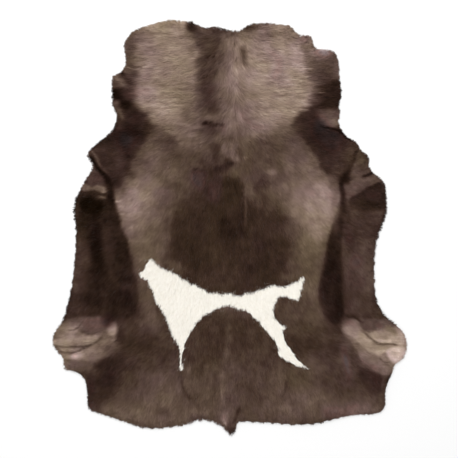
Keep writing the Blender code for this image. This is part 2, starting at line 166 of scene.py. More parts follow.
FIELDS = tuple(Field(*row) for row in (
    # place, shade, blush, soft, ragged, outline
    # The two pale neck lobes: partly the coat's own paler hair, partly painted sheen where the lying
    # hair catches the light.
    ("neck, left lobe", 0.87, -0.1, 8, 7, (
        (-263, 571), (-200, 612), (-125, 606), (-117, 577), (-105, 542), (-88, 508), (-96, 479),
        (-96, 439), (-88, 413), (-88, 381), (-96, 358), (-85, 324), (-88, 283), (-70, 249),
        (-85, 220), (-114, 226), (-137, 240), (-160, 260), (-186, 281), (-214, 301), (-235, 318),
        (-254, 338), (-268, 358), (-276, 387), (-275, 416), (-263, 450), (-274, 485),
        (-271, 519), (-244, 550),
    )),
    ("neck, right lobe", 0.87, 0.3, 10, 7, (
        (24, 537), (50, 563), (94, 571), (145, 571), (177, 560), (197, 537), (210, 508),
        (216, 473), (226, 439), (227, 404), (231, 376), (226, 355), (203, 332), (183, 306),
        (157, 283), (117, 275), (76, 260), (42, 272), (24, 306), (13, 347), (4, 387),
        (10, 433), (19, 473), (13, 508),
    )),
    ("neck, dark middle", 0.39, 0.1, 7, 6, (
        (-119, 600), (-20, 600), (-26, 542), (-40, 496), (-34, 456), (-48, 416), (-50, 376),
        (-38, 341), (-24, 306), (-39, 278), (-47, 237), (-36, 209), (-56, 197), (-70, 232),
        (-76, 266), (-85, 306), (-82, 341), (-91, 358), (-85, 384), (-88, 413), (-94, 439),
        (-94, 476), (-85, 505), (-99, 537), (-114, 565),
    )),
    ("neck, right band", 0.38, 0.4, 7, 8, (
        (232, 508), (307, 525), (335, 468), (341, 370), (312, 344), (278, 344), (249, 335),
        (214, 324), (220, 347), (236, 370), (240, 399), (232, 433), (222, 468), (220, 496),
    )),
    ("neck, right band's foot", 0.06, 0.0, 11, 7, (
        (262, 404), (278, 418), (307, 424), (345, 418), (341, 364), (312, 344), (278, 347),
        (246, 338), (220, 327), (245, 356), (262, 378),
    )),
    # Painted shadow: the hollow under the left flap is dark where the flap shades the coat.
    ("left flap, hollow under it", -0.02, 0.4, 7, 2, (
        (-344, 399), (-315, 404), (-292, 407), (-283, 378), (-283, 353), (-295, 338),
        (-312, 350), (-327, 367), (-344, 376),
    )),
    ("left shoulder", 0.12, 0.2, 10, 3, (
        (-321, 318), (-304, 338), (-286, 351), (-263, 341), (-241, 331), (-225, 316),
        (-218, 292), (-227, 269), (-246, 252), (-258, 229), (-274, 203), (-286, 180),
        (-296, 160), (-309, 146), (-324, 134), (-344, 148), (-361, 168), (-378, 191),
        (-402, 217), (-413, 232), (-378, 260), (-344, 289),
    )),
    ("right shoulder", 0.14, 0.3, 9, 3, (
        (197, 324), (220, 341), (249, 347), (260, 332), (258, 312), (272, 296), (307, 290),
        (326, 275), (355, 256), (370, 230), (362, 217), (358, 203), (354, 186), (344, 168),
        (333, 150), (322, 137), (308, 138), (289, 154), (260, 174), (249, 203), (232, 232),
        (212, 255), (186, 272), (180, 295),
    )),
    ("saddle", 0.185, -0.4, 22, 8, (
        (-85, 160), (-45, 174), (-10, 151), (30, 142), (39, 111), (47, 70), (94, 59), (145, 59),
        (172, 41), (181, -4), (163, -62), (164, -119), (158, -158), (94, -177), (16, -197),
        (-71, -183), (-142, -148), (-183, -125), (-178, -76), (-165, -27), (-169, 19),
        (-156, 62), (-128, 82), (-94, 117),
    )),
    ("withers, dark block", 0.25, 0.2, 4, 2, (
        (-71, 246), (-30, 246), (-27, 232), (-33, 214), (-42, 203), (-53, 212), (-59, 232),
    )),
    ("withers, rosy tuft", 0.60, 0.6, 3, 3, (
        (-22, 246), (19, 249), (30, 237), (13, 226), (30, 209), (33, 194), (7, 194), (-16, 209),
        (-27, 220),
    )),
    ("withers, dark band", 0.10, 0.8, 3, 2, (
        (-47, 177), (-27, 180), (-10, 186), (13, 194), (13, 186), (-1, 174), (-13, 165),
        (-45, 163),
    )),
    ("spine, red-brown column", 0.23, 0.8, 7, 4, (
        (-53, 163), (-22, 163), (-16, 125), (-22, 76), (-47, 68), (-62, 111),
    )),
    ("spine, olive column", 0.19, -1.0, 6, 4, (
        (-19, 145), (30, 145), (39, 111), (39, 73), (19, 65), (-16, 73), (-22, 111),
    )),
    ("spine, pale column", 0.42, -0.1, 4, 5, (
        (33, 174), (50, 168), (65, 134), (68, 88), (53, 71), (45, 96), (36, 134),
    )),
    ("right of the spine, wedge", 0.26, 0.4, 4, 4, (
        (94, 157), (111, 165), (117, 145), (114, 96), (88, 88), (66, 113),
    )),
    ("left of the spine", 0.25, 1.2, 8, 3, (
        (-105, 165), (-68, 165), (-62, 140), (-76, 105), (-99, 111), (-114, 140),
    )),
    # The dark side strip: partly the coat's own dark hair, partly painted shade along the hide's
    # side.
    ("left side strip", 0.09, -0.3, 6, 2, (
        (-361, 163), (-344, 140), (-332, 119), (-332, 91), (-326, 62), (-316, 33), (-307, 1),
        (-296, -27), (-289, -59), (-282, -91), (-277, -125), (-268, -163), (-264, -206),
        (-272, -243), (-298, -263), (-324, -266), (-353, -269), (-373, -258), (-416, -255),
        (-459, -260), (-488, -269), (-502, -235), (-465, -119), (-459, 82), (-430, 125),
        (-387, 163),
    )),
    ("right side strip", 0.30, 0.4, 6, 2, (
        (332, 71), (355, 65), (393, 50), (427, 59), (468, 68), (462, 10), (433, -62),
        (427, -163), (445, -235), (416, -252), (381, -258), (353, -249), (332, -229),
        (324, -177), (324, -114), (324, -56), (327, -10), (332, 36),
    )),
    # The right trough: partly dark hair, partly painted shade in the fold.
    ("right trough", 0.09, 0.2, 5, 1, (
        (318, 134), (332, 111), (332, 76), (327, 36), (324, -10), (321, -56), (321, -114),
        (321, -177), (330, -229), (324, -263), (304, -281), (283, -266), (263, -232),
        (252, -194), (259, -148), (270, -108), (277, -68), (283, -27), (295, 10), (306, 47),
        (318, 82), (315, 111),
    )),
    ("right foreleg", 0.42, 0.3, 4, 1, (
        (371, 232), (387, 229), (407, 203), (407, 180), (419, 166), (436, 153), (446, 134),
        (427, 131), (410, 124), (396, 118), (381, 107), (368, 100), (352, 92), (340, 92),
        (330, 104), (324, 120), (330, 140), (342, 155), (349, 172), (356, 188), (361, 205),
        (361, 217),
    )),
    # Partly painted shade in the hollow under the right foreleg's folds, over the coat's own
    # olive-dark hair.
    ("right hollow", 0.10, 0.0, 6, 1, (
        (381, 104), (396, 114), (410, 119), (427, 128), (446, 128), (457, 110), (460, 70),
        (444, 55), (404, 48), (375, 48), (350, 58), (336, 77), (348, 90), (368, 98),
    )),
    # Painted shade in the left foreleg's crease.
    ("left foreleg's crease", -0.02, 0.2, 4, 1, (
        (-363, 158), (-350, 151), (-338, 145), (-330, 140), (-321, 131), (-330, 122),
        (-332, 108), (-334, 94), (-332, 79), (-330, 62), (-338, 59), (-347, 79), (-350, 96),
        (-350, 117), (-355, 128), (-361, 140),
    )),
    ("left foreleg", 0.28, 0.5, 4, 1, (
        (-393, 177), (-376, 165), (-364, 154), (-361, 137), (-355, 122), (-353, 111),
        (-361, 114), (-376, 119), (-393, 119), (-407, 125), (-419, 134), (-413, 145),
        (-399, 157),
    )),
    ("left foreleg, pale fold", 0.54, -0.1, 3, 1, (
        (-425, 134), (-407, 125), (-393, 119), (-381, 125), (-367, 122), (-355, 117),
        (-353, 105), (-361, 99), (-373, 105), (-384, 111), (-396, 111), (-407, 105),
        (-430, 111),
    )),
    ("left foreleg's dark foot", -0.14, -0.9, 8, 2, (
        (-430, 76), (-419, 88), (-404, 96), (-387, 85), (-370, 79), (-364, 68), (-370, 50),
        (-381, 42), (-399, 39), (-419, 45), (-427, 59),
    )),
    ("left hind leg", 0.54, 0.0, 5, 3, (
        (-488, -272), (-453, -263), (-413, -260), (-378, -263), (-364, -283), (-353, -283),
        (-341, -269), (-327, -272), (-318, -292), (-321, -315), (-315, -335), (-330, -355),
        (-355, -373), (-378, -390), (-402, -410), (-488, -419), (-502, -355), (-522, -324),
        (-505, -292),
    )),
    ("left hind leg, mauve top", 0.50, 0.5, 6, 1, (
        (-471, -263), (-445, -255), (-401, -252), (-364, -255), (-353, -272), (-361, -292),
        (-381, -301), (-407, -301), (-430, -286), (-448, -292), (-471, -286),
    )),
    ("left hind leg, cream band", 0.97, 0.0, 4, 1, (
        (-512, -324), (-488, -315), (-465, -309), (-445, -301), (-413, -304), (-393, -309),
        (-376, -307), (-376, -318), (-393, -330), (-416, -338), (-445, -338), (-482, -338),
        (-508, -335),
    )),
    ("left hind leg, under the band", 0.84, 0.1, 3, 1, (
        (-499, -341), (-459, -341), (-419, -341), (-430, -350), (-453, -355), (-476, -355),
        (-491, -350),
    )),
    # Pale hair with a painted highlight on the shiny inner lobe.
    ("left hind leg, inner lobe", 0.86, -0.1, 4, 1, (
        (-353, -283), (-344, -272), (-332, -269), (-321, -286), (-321, -301), (-335, -309),
        (-350, -301),
    )),
    ("left hind leg, rosy lobe", 0.78, 0.1, 6, 1, (
        (-459, -367), (-442, -353), (-419, -347), (-396, -335), (-378, -324), (-364, -318),
        (-338, -315), (-324, -327), (-321, -341), (-338, -355), (-361, -370), (-378, -381),
        (-407, -378), (-436, -378), (-459, -373),
    )),
    ("right hind leg", 0.76, 0.1, 5, 1, (
        (321, -281), (338, -263), (361, -260), (381, -272), (419, -266), (456, -269),
        (485, -286), (517, -327), (511, -364), (485, -396), (473, -424), (450, -422),
        (416, -404), (381, -384), (364, -361), (358, -338), (341, -318), (324, -301),
    )),
    ("right hind leg, mauve top", 0.44, 0.8, 4, 1, (
        (370, -263), (381, -258), (404, -260), (427, -258), (456, -263), (479, -281),
        (468, -286), (448, -283), (427, -286), (404, -295), (387, -289), (376, -278),
    )),
    ("right hind leg, band", 0.98, 0.0, 5, 1, (
        (327, -283), (338, -272), (353, -275), (367, -283), (381, -298), (396, -312),
        (410, -327), (427, -338), (450, -344), (445, -355), (427, -367), (404, -355),
        (381, -341), (367, -327), (350, -318), (332, -304),
    )),
    ("right hind leg, upper lobe", 0.97, 0.1, 4, 1, (
        (396, -303), (413, -298), (433, -297), (453, -296), (476, -301), (494, -312),
        (504, -332), (479, -335), (450, -330), (427, -327), (410, -315), (399, -307),
    )),
    ("right hind leg, lower lobe", 0.74, 0.1, 6, 1, (
        (370, -335), (387, -347), (410, -361), (433, -376), (456, -387), (468, -396),
        (462, -413), (445, -422), (422, -410), (399, -396), (381, -384), (370, -364),
    )),
    # Pinkish pale hair with a painted highlight on the shiny lobe.
    ("right hind leg, pale lobe", 1.26, 0.6, 5, 1, (
        (453, -344), (473, -340), (502, -341), (508, -353), (502, -370), (490, -383),
        (476, -392), (462, -380), (453, -367), (448, -353),
    )),
    ("right thigh, dark patch", 0.20, 0.5, 5, 2, (
        (370, -396), (387, -404), (410, -410), (436, -419), (440, -459), (422, -482),
        (396, -473), (378, -436),
    )),
    ("rump, wedge", 0.25, -0.2, 3, 1, (
        (-140, -448), (-128, -465), (-108, -491), (-119, -491), (-134, -476),
    )),
    # The right tuft's pale shade is partly the hair's own colour and partly painted light on the
    # raised tuft.
    ("right tuft", 0.56, 0.2, 4, 1, (
        (260, 330), (276, 337), (296, 337), (312, 332), (323, 330), (317, 317), (315, 302),
        (307, 291), (283, 291), (265, 301), (254, 315),
    )),
))

SPOTS = tuple(Zone(*row) for row in (
    # place, across, along, half_across, half_along, turn, shade, blush, strength, edge
    ("neck, left lobe, top", -170, 548, 26, 38, 0, 1.08, -0.3, 0.7, 1.2),
    ("neck, left lobe, foot", -208, 372, 45, 40, -20, 1.00, 0.2, 0.7, 1.2),
    ("neck, left lobe, middle", -142, 455, 30, 70, 0, 0.92, -0.1, 0.6, 1.2),
    ("neck, left lobe's tail", -108, 310, 40, 70, 0, 0.58, 0.2, 0.85, 1.2),
    ("neck, left lobe's tip", -98, 240, 40, 40, 0, 0.44, 0.2, 0.85, 1.2),
    ("neck, left lobe's inner side", -111, 392, 21, 46, 0, 0.57, -0.2, 0.75, 1.2),
    ("neck, left lobe's upper inner side", -116, 548, 13, 24, 0, 0.66, -0.4, 0.6, 1.2),
    ("neck, left lobe, light at its inner side", -119, 464, 18, 34, 0, 1.00, -0.2, 0.65, 1.2),
    ("neck, left lobe's upper corner", -240, 559, 30, 20, 20, 0.56, 0.3, 0.75, 1.2),
    ("neck, left lobe's lower edge", -200, 306, 34, 17, -38, 0.60, 0.1, 0.8, 1.3),
    ("neck, left lobe's dusky side", -240, 476, 15, 14, 0, 0.74, 0.1, 0.6, 1.2),
    ("neck, left lobe's second dusky spot", -238, 410, 15, 13, 0, 0.70, 0.0, 0.7, 1.2),
    ("neck, left lobe, shade by the middle", -108, 505, 10, 14, 0, 0.58, 0.0, 0.6, 1.2),
    ("neck, left lobe's light tip", -116, 266, 24, 14, 0, 0.68, 0.2, 0.7, 1.2),
    ("neck, left corner's rim", -293, 545, 15, 11, 40, 0.30, 0.2, 0.7, 1.3),
    ("neck, left lobe, dusky spot", -176, 444, 14, 14, 0, 0.74, 0.3, 0.6, 1.2),
    ("neck, left lobe's outer side", -290, 404, 23, 50, 0, 0.26, 0.5, 0.85, 1.5),
    ("neck, right lobe, top", 145, 496, 60, 24, 0, 0.90, 0.8, 0.7, 1.2),
    ("neck, right lobe, rim", 120, 553, 80, 15, 0, 0.68, 0.0, 0.7, 1.2),
    ("neck, right lobe's pale rim", 114, 580, 42, 9, 0, 0.84, 0.0, 0.75, 1.3),
    ("neck, right lobe, under its rim", 106, 553, 19, 7, 0, 0.52, 0.2, 0.8, 1.2),
    ("neck, right lobe, spot at its rim", 99, 572, 9, 7, 0, 0.44, 0.2, 0.6, 1.2),
    ("neck, right lobe's corner", 164, 545, 19, 14, 0, 0.54, 0.3, 0.7, 1.2),
    ("neck, right lobe, upper light", 177, 486, 24, 24, 0, 1.28, -0.1, 0.8, 1.3),
    ("neck, right lobe, lower light", 165, 370, 36, 28, 0, 1.02, 0.0, 0.6, 1.3),
    ("neck, right lobe, dusky spot", 106, 466, 14, 13, 0, 0.70, 0.2, 0.7, 1.2),
    ("neck, right lobe, middle", 80, 445, 40, 40, 0, 1.00, 0.6, 0.7, 1.2),
    ("neck, right lobe's inner side", 48, 340, 30, 90, 0, 0.60, 0.1, 0.75, 1.2),
    ("neck, beside the inner side", 20, 356, 16, 28, 0, 0.50, 0.1, 0.6, 1.2),
    ("neck, right lobe's head corner", 54, 576, 15, 11, 0, 0.26, 0.0, 0.8, 1.3),
    ("neck, right lobe's outer edge", 216, 409, 15, 16, 0, 0.68, 0.2, 0.7, 1.3),
    ("neck, right lobe, outer side", 185, 430, 32, 80, 0, 0.88, 0.1, 0.6, 1.2),
    ("neck, right lobe's foot", 144, 280, 60, 19, 0, 0.52, -0.1, 0.7, 1.2),
    ("neck, edge of the dark middle", 0, 526, 18, 24, 0, 0.92, -0.2, 0.85, 1.5),
    ("neck, edge of the dark middle, its waist", 5, 462, 13, 34, 0, 0.90, 0.0, 0.85, 1.5),
    ("neck, dark middle's right side", -31, 484, 11, 24, 0, 0.36, 0.2, 0.6, 1.4),
    ("neck, dark middle's left edge", -91, 390, 8, 50, 0, 0.36, 0.3, 0.6, 1.4),
    ("neck, edge of the dark middle, lower", 0, 416, 18, 28, 0, 0.97, 0.1, 0.85, 1.5),
    ("neck, head of that edge", 3, 560, 16, 10, 0, 0.26, -0.2, 0.7, 1.3),
    ("neck, under the crossing, its right", -9, 281, 14, 18, 0, 0.76, 0.2, 0.7, 1.3),
    ("neck, dark middle, left half", -64, 388, 26, 28, 0, 0.25, 0.7, 0.85, 1.5),
    ("neck, dark middle's foot", -58, 348, 28, 27, 0, 0.26, 0.6, 0.8, 1.5),
    ("neck, dark middle, left bay", -96, 370, 9, 12, 0, 0.42, 0.2, 0.8, 1.2),
    ("neck, dark middle's head", -108, 583, 15, 20, 0, -0.06, -0.4, 0.95, 1.5),
    ("neck, rim of the dark middle", -48, 580, 46, 9, 0, 0.28, -0.2, 0.7, 1.5),
    ("neck, rim's dark spot", -14, 573, 22, 9, 0, 0.14, -0.2, 0.85, 1.5),
    ("neck, rim right of the middle", 34, 580, 44, 12, 0, 0.24, -0.5, 0.8, 1.5),
    ("neck, rim over the right lobe", 142, 580, 14, 11, 0, 0.88, 0.0, 0.7, 1.3),
    ("neck, upper right step", 222, 540, 22, 14, 0, 0.76, 1.0, 0.8, 1.2),
    ("neck, under that step", 230, 503, 12, 10, 0, 0.42, 0.4, 0.65, 1.3),
    ("neck, beside that step", 196, 520, 8, 7, 0, 0.98, 0.0, 0.6, 1.3),
    # Painted highlight: a pale grey-blue glint at the neck's right corner.
    ("neck, right corner", 266, 505, 24, 13, 0, 1.20, 2.7, 0.85, 1.3),
    ("neck, right band's top", 250, 476, 24, 28, 0, 0.50, 0.7, 0.6, 1.2),
    ("neck, right band's dark inner side", 270, 438, 26, 18, 0, 0.22, 0.5, 0.75, 1.3),
    ("neck, right band, over its foot", 272, 376, 16, 14, 0, 0.06, 0.0, 0.5, 1.3),
    ("neck, right band's outer side", 312, 460, 13, 26, 0, 0.54, 0.4, 0.75, 1.3),
    ("neck, left lobe's pale spot", -325, 361, 9, 9, 0, 0.60, 0.0, 0.8, 1.2),
    ("right tuft, rosy spot", 300, 328, 15, 12, 0, 0.38, 1.4, 0.85, 1.2),
    ("right tuft's pale foot", 291, 302, 22, 9, 0, 0.70, 0.2, 0.8, 1.2),
    # Painted shadow under the left flap, at its foot and on the shoulder under it.
    ("left flap's dark foot", -296, 352, 18, 16, 0, -0.08, -0.6, 0.85, 1.5),
    ("left flap's rim", -331, 384, 10, 15, 0, 0.02, 0.0, 0.7, 1.3),
    ("left shoulder, under the flap", -280, 326, 18, 14, 0, 0.02, 0.2, 0.7, 1.3),
    ("right tuft, grey spot", 267, 325, 8, 8, 0, 0.54, 0.2, 0.6, 1.2),
    ("over the right tuft", 274, 350, 26, 13, 0, 0.02, 0.2, 0.75, 1.3),
    ("right tuft's dusky head", 272, 334, 20, 9, 0, 0.34, 0.3, 0.6, 1.3),
    # Painted light on the lump over the neck's crossing crease.
    ("over the crossing", -58, 317, 13, 6, 0, 0.64, 0.4, 0.8, 1.2),
    ("under the crossing", -64, 281, 28, 15, 0, 0.22, 0.1, 0.8, 1.2),
    ("withers, left of the block", -108, 207, 24, 12, 0, 0.20, -0.2, 0.7, 1.2),
    ("withers, right side", 190, 220, 30, 38, 0, 0.58, 0.1, 0.75, 1.3),
    ("left shoulder's head", -295, 268, 46, 13, 0, -0.06, 0.6, 0.9, 1.5),
    ("left shoulder, over its head", -318, 318, 14, 24, 0, 0.26, -0.5, 0.7, 1.5),
    ("left shoulder, dusky side", -262, 314, 28, 22, 0, 0.10, 1.2, 0.7, 1.5),
    ("left shoulder, its inner side", -219, 274, 14, 18, 0, 0.24, 0.2, 0.75, 1.3),
    ("left shoulder, its dark slope", -358, 252, 20, 12, 30, 0.00, 0.2, 0.7, 1.3),
    ("left shoulder, rosy spot", -317, 176, 28, 26, 0, 0.36, 0.9, 0.75, 1.2),
    ("left shoulder, outer side", -378, 220, 24, 24, 0, 0.27, 0.6, 0.7, 1.2),
    ("left shoulder, blue spot", -288, 248, 30, 28, 0, 0.12, 2.8, 0.9, 1.2),
    ("left shoulder, inner corner", -258, 206, 18, 44, 20, 0.32, -0.8, 0.6, 1.2),
    ("left flank's corner", -314, 120, 24, 26, 0, 0.34, 0.0, 0.8, 1.2),
    ("left flank's lower rim", -300, 2, 8, 12, 0, 0.40, 0.2, 0.6, 1.3),
    ("left flank's head", -262, 126, 46, 20, 0, 0.68, 0.2, 0.7, 1.3),
    ("left flank's inner shoulder", -224, 113, 24, 22, 0, 0.56, 0.2, 0.75, 1.3),
    ("left shoulder's inner foot", -286, 158, 20, 18, 30, 0.27, 0.2, 0.7, 1.3),
    ("over the left flank", -242, 184, 19, 13, 0, 0.54, 0.3, 0.7, 1.3),
    ("left of the saddle", -182, 58, 18, 50, 0, 0.40, 0.0, 0.6, 1.3),
    # Painted shade at the foot of the left foreleg's crease.
    ("left foreleg's crease, its foot", -326, 132, 17, 14, 0, 0.04, 0.2, 0.8, 1.4),
    ("right shoulder, dark spot", 285, 232, 26, 16, 0, 0.07, 1.0, 0.7, 1.2),
    ("right shoulder, blue spot", 256, 284, 28, 32, 0, 0.13, 2.8, 0.8, 1.2),
    ("right shoulder, dusky spot", 295, 262, 24, 22, 0, 0.19, 2.3, 0.7, 1.2),
    ("right shoulder, outer side", 348, 222, 15, 34, 0, 0.32, -0.9, 0.8, 1.2),
    ("right shoulder, foot", 298, 180, 34, 24, 0, 0.31, 0.0, 0.7, 1.2),
    ("right foreleg's head", 381, 200, 17, 22, 0, 0.37, -0.8, 0.8, 1.2),
    ("right foreleg, rosy lobe", 351, 118, 24, 28, 0, 0.51, 0.8, 0.7, 1.2),
    ("right foreleg, lobe between folds", 409, 139, 20, 9, -15, 0.50, 0.1, 0.8, 1.2),
    ("right hollow, olive foot", 390, 73, 28, 18, 0, 0.00, -1.0, 0.8, 1.2),
    ("right hollow, dusky side", 418, 94, 24, 16, 0, 0.12, 1.0, 0.8, 1.2),
    ("right flank's head", 209, 183, 32, 28, 0, 0.64, 0.2, 0.8, 1.2),
    ("right flank's side", 304, 62, 13, 62, 0, 0.58, 0.2, 0.7, 1.2),
    ("right flank's corner", 303, 126, 19, 26, 0, 0.48, 0.2, 0.85, 1.3),
    ("right flank's crown", 268, 58, 27, 32, 0, 0.90, 0.0, 0.7, 1.2),
    ("right flank, dusky crown", 248, 97, 28, 11, 0, 0.82, 0.3, 0.7, 1.3),
    ("right flank, dusky middle", 228, 58, 14, 22, 0, 0.86, 0.2, 0.7, 1.3),
    ("right flank's upper right", 240, 162, 28, 15, -20, 0.74, 0.2, 0.7, 1.3),
    ("beside the right flank's head", 144, 113, 28, 13, 0, 0.60, 0.2, 0.6, 1.3),
    ("right flank's lower tip", 258, -20, 18, 19, 0, 0.78, 0.2, 0.75, 1.3),
    ("right flank's foot, outer side", 257, -98, 20, 28, 0, 0.62, -0.4, 0.65, 1.3),
    # Painted shade at the foot of the right foreleg's crease.
    ("right foreleg's crease, its foot", 331, 139, 17, 12, 0, -0.10, 0.2, 0.9, 1.4),
    ("right flank, lower middle", 244, 16, 24, 26, 0, 0.90, 0.3, 0.6, 1.2),
    ("right flank, inner foot", 178, -6, 26, 28, 0, 0.31, -0.2, 0.7, 1.2),
    # Partly painted shade at the foot of the right trough.
    ("right trough, dark foot", 297, -165, 30, 100, 0, -0.02, 0.2, 0.9, 2),
    ("right side strip, inner edge", 344, -110, 14, 100, 0, 0.22, 0.3, 0.7, 1.5),
    ("right side strip, inner side", 392, -130, 24, 72, 0, 0.47, 0.7, 0.75, 1.5),
    ("right side strip, shade at its head", 356, 40, 30, 38, 0, 0.20, 0.2, 0.7, 1.5),
    ("right trough, beside the flank", 321, 10, 9, 38, 0, 0.02, 0.2, 0.6, 1.4),
    ("right side strip, dark spot", 358, -52, 14, 16, 0, 0.18, 0.8, 0.7, 1.3),
    ("right side strip, grey middle", 360, -97, 20, 20, 0, 0.41, 2.3, 0.85, 1.3),
    ("right side strip's foot", 364, -216, 22, 18, 0, 0.44, 0.6, 0.7, 1.3),
    ("right side strip's outer foot", 404, -154, 13, 34, 0, 0.48, 0.5, 0.6, 1.3),
    ("right side strip, its outer head", 420, 24, 24, 26, 0, 0.27, 0.3, 0.7, 1.5),
    ("right side strip, dusky spot", 346, -30, 14, 13, 0, 0.20, 1.4, 0.7, 1.2),
    ("left side strip's rim", -434, -92, 21, 88, 3, 0.34, 0.3, 0.8, 1.5),
    ("left side strip's outer column", -402, -76, 22, 26, 0, 0.43, 0.2, 0.75, 1.3),
    ("left side strip's head", -410, 20, 27, 24, 0, 0.00, -0.4, 0.7, 1.3),
    ("left side strip's dark foot", -400, -206, 30, 20, 0, -0.04, 0.2, 0.7, 1.3),
    ("left side strip's pale rim", -446, -158, 12, 30, 0, 0.46, 0.0, 0.7, 1.3),
    ("left side strip's outer foot", -446, -240, 26, 32, 0, 0.34, -0.3, 0.8, 1.3),
    ("left side strip, dark middle", -383, -60, 15, 122, 3, -0.06, 0.3, 0.85, 1.5),
    ("left side strip, pale fold", -346, -66, 15, 60, 3, 0.26, 0.0, 0.8, 1.5),
    ("left side strip, foot", -290, -170, 22, 80, 0, 0.05, 0.6, 0.7, 1.5),
    ("spine, pale triangle", 122, 162, 14, 7, 0, 0.76, 0.1, 0.8, 1.2),
    ("spine, left of the triangle", 92, 166, 17, 10, 0, 0.34, 0.0, 0.6, 1.2),
    ("spine, dark left side", -66, 104, 13, 24, 0, 0.14, 0.8, 0.7, 1.3),
    ("withers, dark band's foot", -14, 165, 18, 7, 0, 0.14, 0.6, 0.7, 1.3),
    ("spine, pale head", 20, 160, 20, 12, 0, 0.46, -0.9, 0.8, 1.2),
    ("spine, grey spot", -103, 114, 13, 11, 0, 0.40, -0.2, 0.6, 1.2),
    ("spine", 34, 20, 10, 60, 0, 0.17, 0.8, 0.6, 1.2),
    ("saddle, dark middle", -5, 30, 30, 60, 0, 0.10, -0.8, 0.7, 1.2),
    ("saddle's foot", -44, -150, 64, 24, 0, 0.31, -0.7, 0.7, 1.3),
    ("saddle, dark spot", 76, -48, 34, 22, 0, 0.10, 0.2, 0.6, 1.3),
    ("white marking, grey arch", -12, -226, 36, 5, 0, 0.46, 1.2, 0.7, 1.2),
    ("white marking, grey arch, right", 48, -239, 22, 5, -22, 0.46, 0.4, 0.6, 1.2),
    ("white marking, grey inner side", 131, -224, 7, 20, 0, 0.50, -0.5, 0.7, 1.2),
    ("left of the marking", -230, -230, 18, 38, 10, 0.54, 0.3, 0.75, 1.2),
    ("left of the marking's foot", -232, -380, 24, 18, 0, 0.46, -0.2, 0.7, 1.2),
    ("left thigh's foot", -262, -378, 34, 17, 0, 0.42, 0.2, 0.6, 1.3),
    ("left of the marking, its edge", -216, -262, 13, 44, 22, 0.50, 0.2, 0.6, 1.3),
    ("over the marking's left arm", -158, -108, 46, 14, -26, 0.50, -0.2, 0.75, 1.3),
    ("left of the marking's head", -262, -112, 12, 18, 0, 0.68, -0.2, 0.6, 1.3),
    ("over the marking's right arm", 168, -137, 26, 11, 10, 0.46, 0.0, 0.65, 1.3),
    ("under the arch, its dark left", -64, -288, 22, 26, 0, 0.18, -0.2, 0.7, 1.3),
    ("marking's foot, inner corner", 126, -384, 14, 20, 0, 0.48, 0.3, 0.7, 1.2),
    ("right of the marking", 226, -250, 36, 40, 0, 0.50, -0.4, 0.75, 1.2),
    ("right of the marking's foot", 246, -396, 34, 24, 0, 0.47, -0.3, 0.65, 1.3),
    ("right thigh, middle", 272, -362, 28, 15, 0, 0.38, 0.0, 0.6, 1.3),
    ("right thigh, dusky foot", 348, -424, 14, 18, 0, 0.27, 0.3, 0.6, 1.3),
    ("rump, dark left corner", -358, -436, 30, 52, 0, 0.10, 0.4, 0.9, 1.5),
    ("rump, dusky left rim", -398, -474, 14, 42, 0, 0.12, 1.4, 0.8, 1.5),
    ("rump, left corner's foot", -362, -490, 36, 18, 0, 0.20, 0.3, 0.75, 1.5),
    ("rump, left swell", -192, -458, 60, 44, 0, 0.60, 0.4, 0.7, 1.5),
    ("rump, left rim", -250, -543, 110, 22, -12, 0.64, 0.4, 0.8, 1.5),
    ("rump, left pale spot", -118, -410, 6, 12, 0, 0.64, 0.5, 0.7, 1.2),
    ("rump, disc's darker half", 58, -450, 44, 66, 0, 0.25, 0.4, 0.8, 1.5),
    ("rump, disc's pale side", 145, -420, 17, 27, 0, 0.53, 0.4, 0.6, 1.2),
    ("rump, olive spot", 203, -436, 36, 30, 0, 0.42, -1.0, 0.7, 1.2),
    ("rump, pale wedge", 160, -515, 17, 9, 0, 0.62, 0.3, 0.6, 1.2),
    ("rump, right swell", 222, -488, 42, 22, 0, 0.58, 0.0, 0.7, 1.3),
    ("rump, left swell's foot", -232, -506, 32, 20, 0, 0.64, 0.1, 0.7, 1.3),
    ("rump, rim left of the tail", -94, -529, 28, 12, 0, 0.62, -0.2, 0.7, 1.3),
    ("rump, middle of its left rim", -154, -540, 32, 24, 0, 0.64, 0.3, 0.7, 1.3),
    ("rump, dark left of the tail", -78, -492, 22, 15, 0, 0.36, 0.0, 0.6, 1.3),
    ("rump, dark by the tail", 44, -507, 23, 26, 0, 0.28, 0.8, 0.7, 1.2),
    ("rump, right of the olive spot", 307, -449, 38, 27, 0, 0.22, 0.3, 0.75, 1.5),
    ("rump, right rim", 320, -522, 130, 30, 8, 0.56, 0.6, 0.8, 1.5),
    ("rump, right corner's rim", 372, -524, 48, 14, 6, 0.72, 0.6, 0.75, 1.3),
    ("right thigh, pale side", 334, -338, 15, 24, 0, 0.54, 0.4, 0.75, 1.2),
    ("right thigh, blue streak", 334, -382, 9, 32, 14, 0.40, 2.0, 0.92, 1.3),
    ("left hind leg, pale spot", -453, -291, 24, 20, 10, 1.05, 0.3, 0.85, 1.2),
    ("left hind leg's dark inner edge", -315, -334, 11, 48, 0, 0.08, 0.0, 0.85, 1.4),
    ("left hind leg, mauve middle", -372, -272, 40, 15, 0, 0.33, 0.8, 0.75, 1.4),
    ("left hind leg, olive spot", -430, -303, 13, 8, 0, 0.68, -0.6, 0.7, 1.3),
    ("left hind leg, lower rim", -474, -368, 12, 13, 0, 0.92, 0.1, 0.7, 1.3),
    ("left hind leg, rosy lobe's inner foot", -380, -363, 28, 9, 8, 0.62, 0.1, 0.7, 1.3),
    ("left hind leg, pale rim", -482, -305, 17, 13, 30, 0.80, 0.3, 0.7, 1.2),
    ("left hind leg, bright band end", -389, -313, 14, 7, 15, 1.02, 0.1, 0.8, 1.2),
    ("left hind leg, pink spot", -463, -317, 7, 9, 0, 1.05, 0.7, 0.7, 1.2),
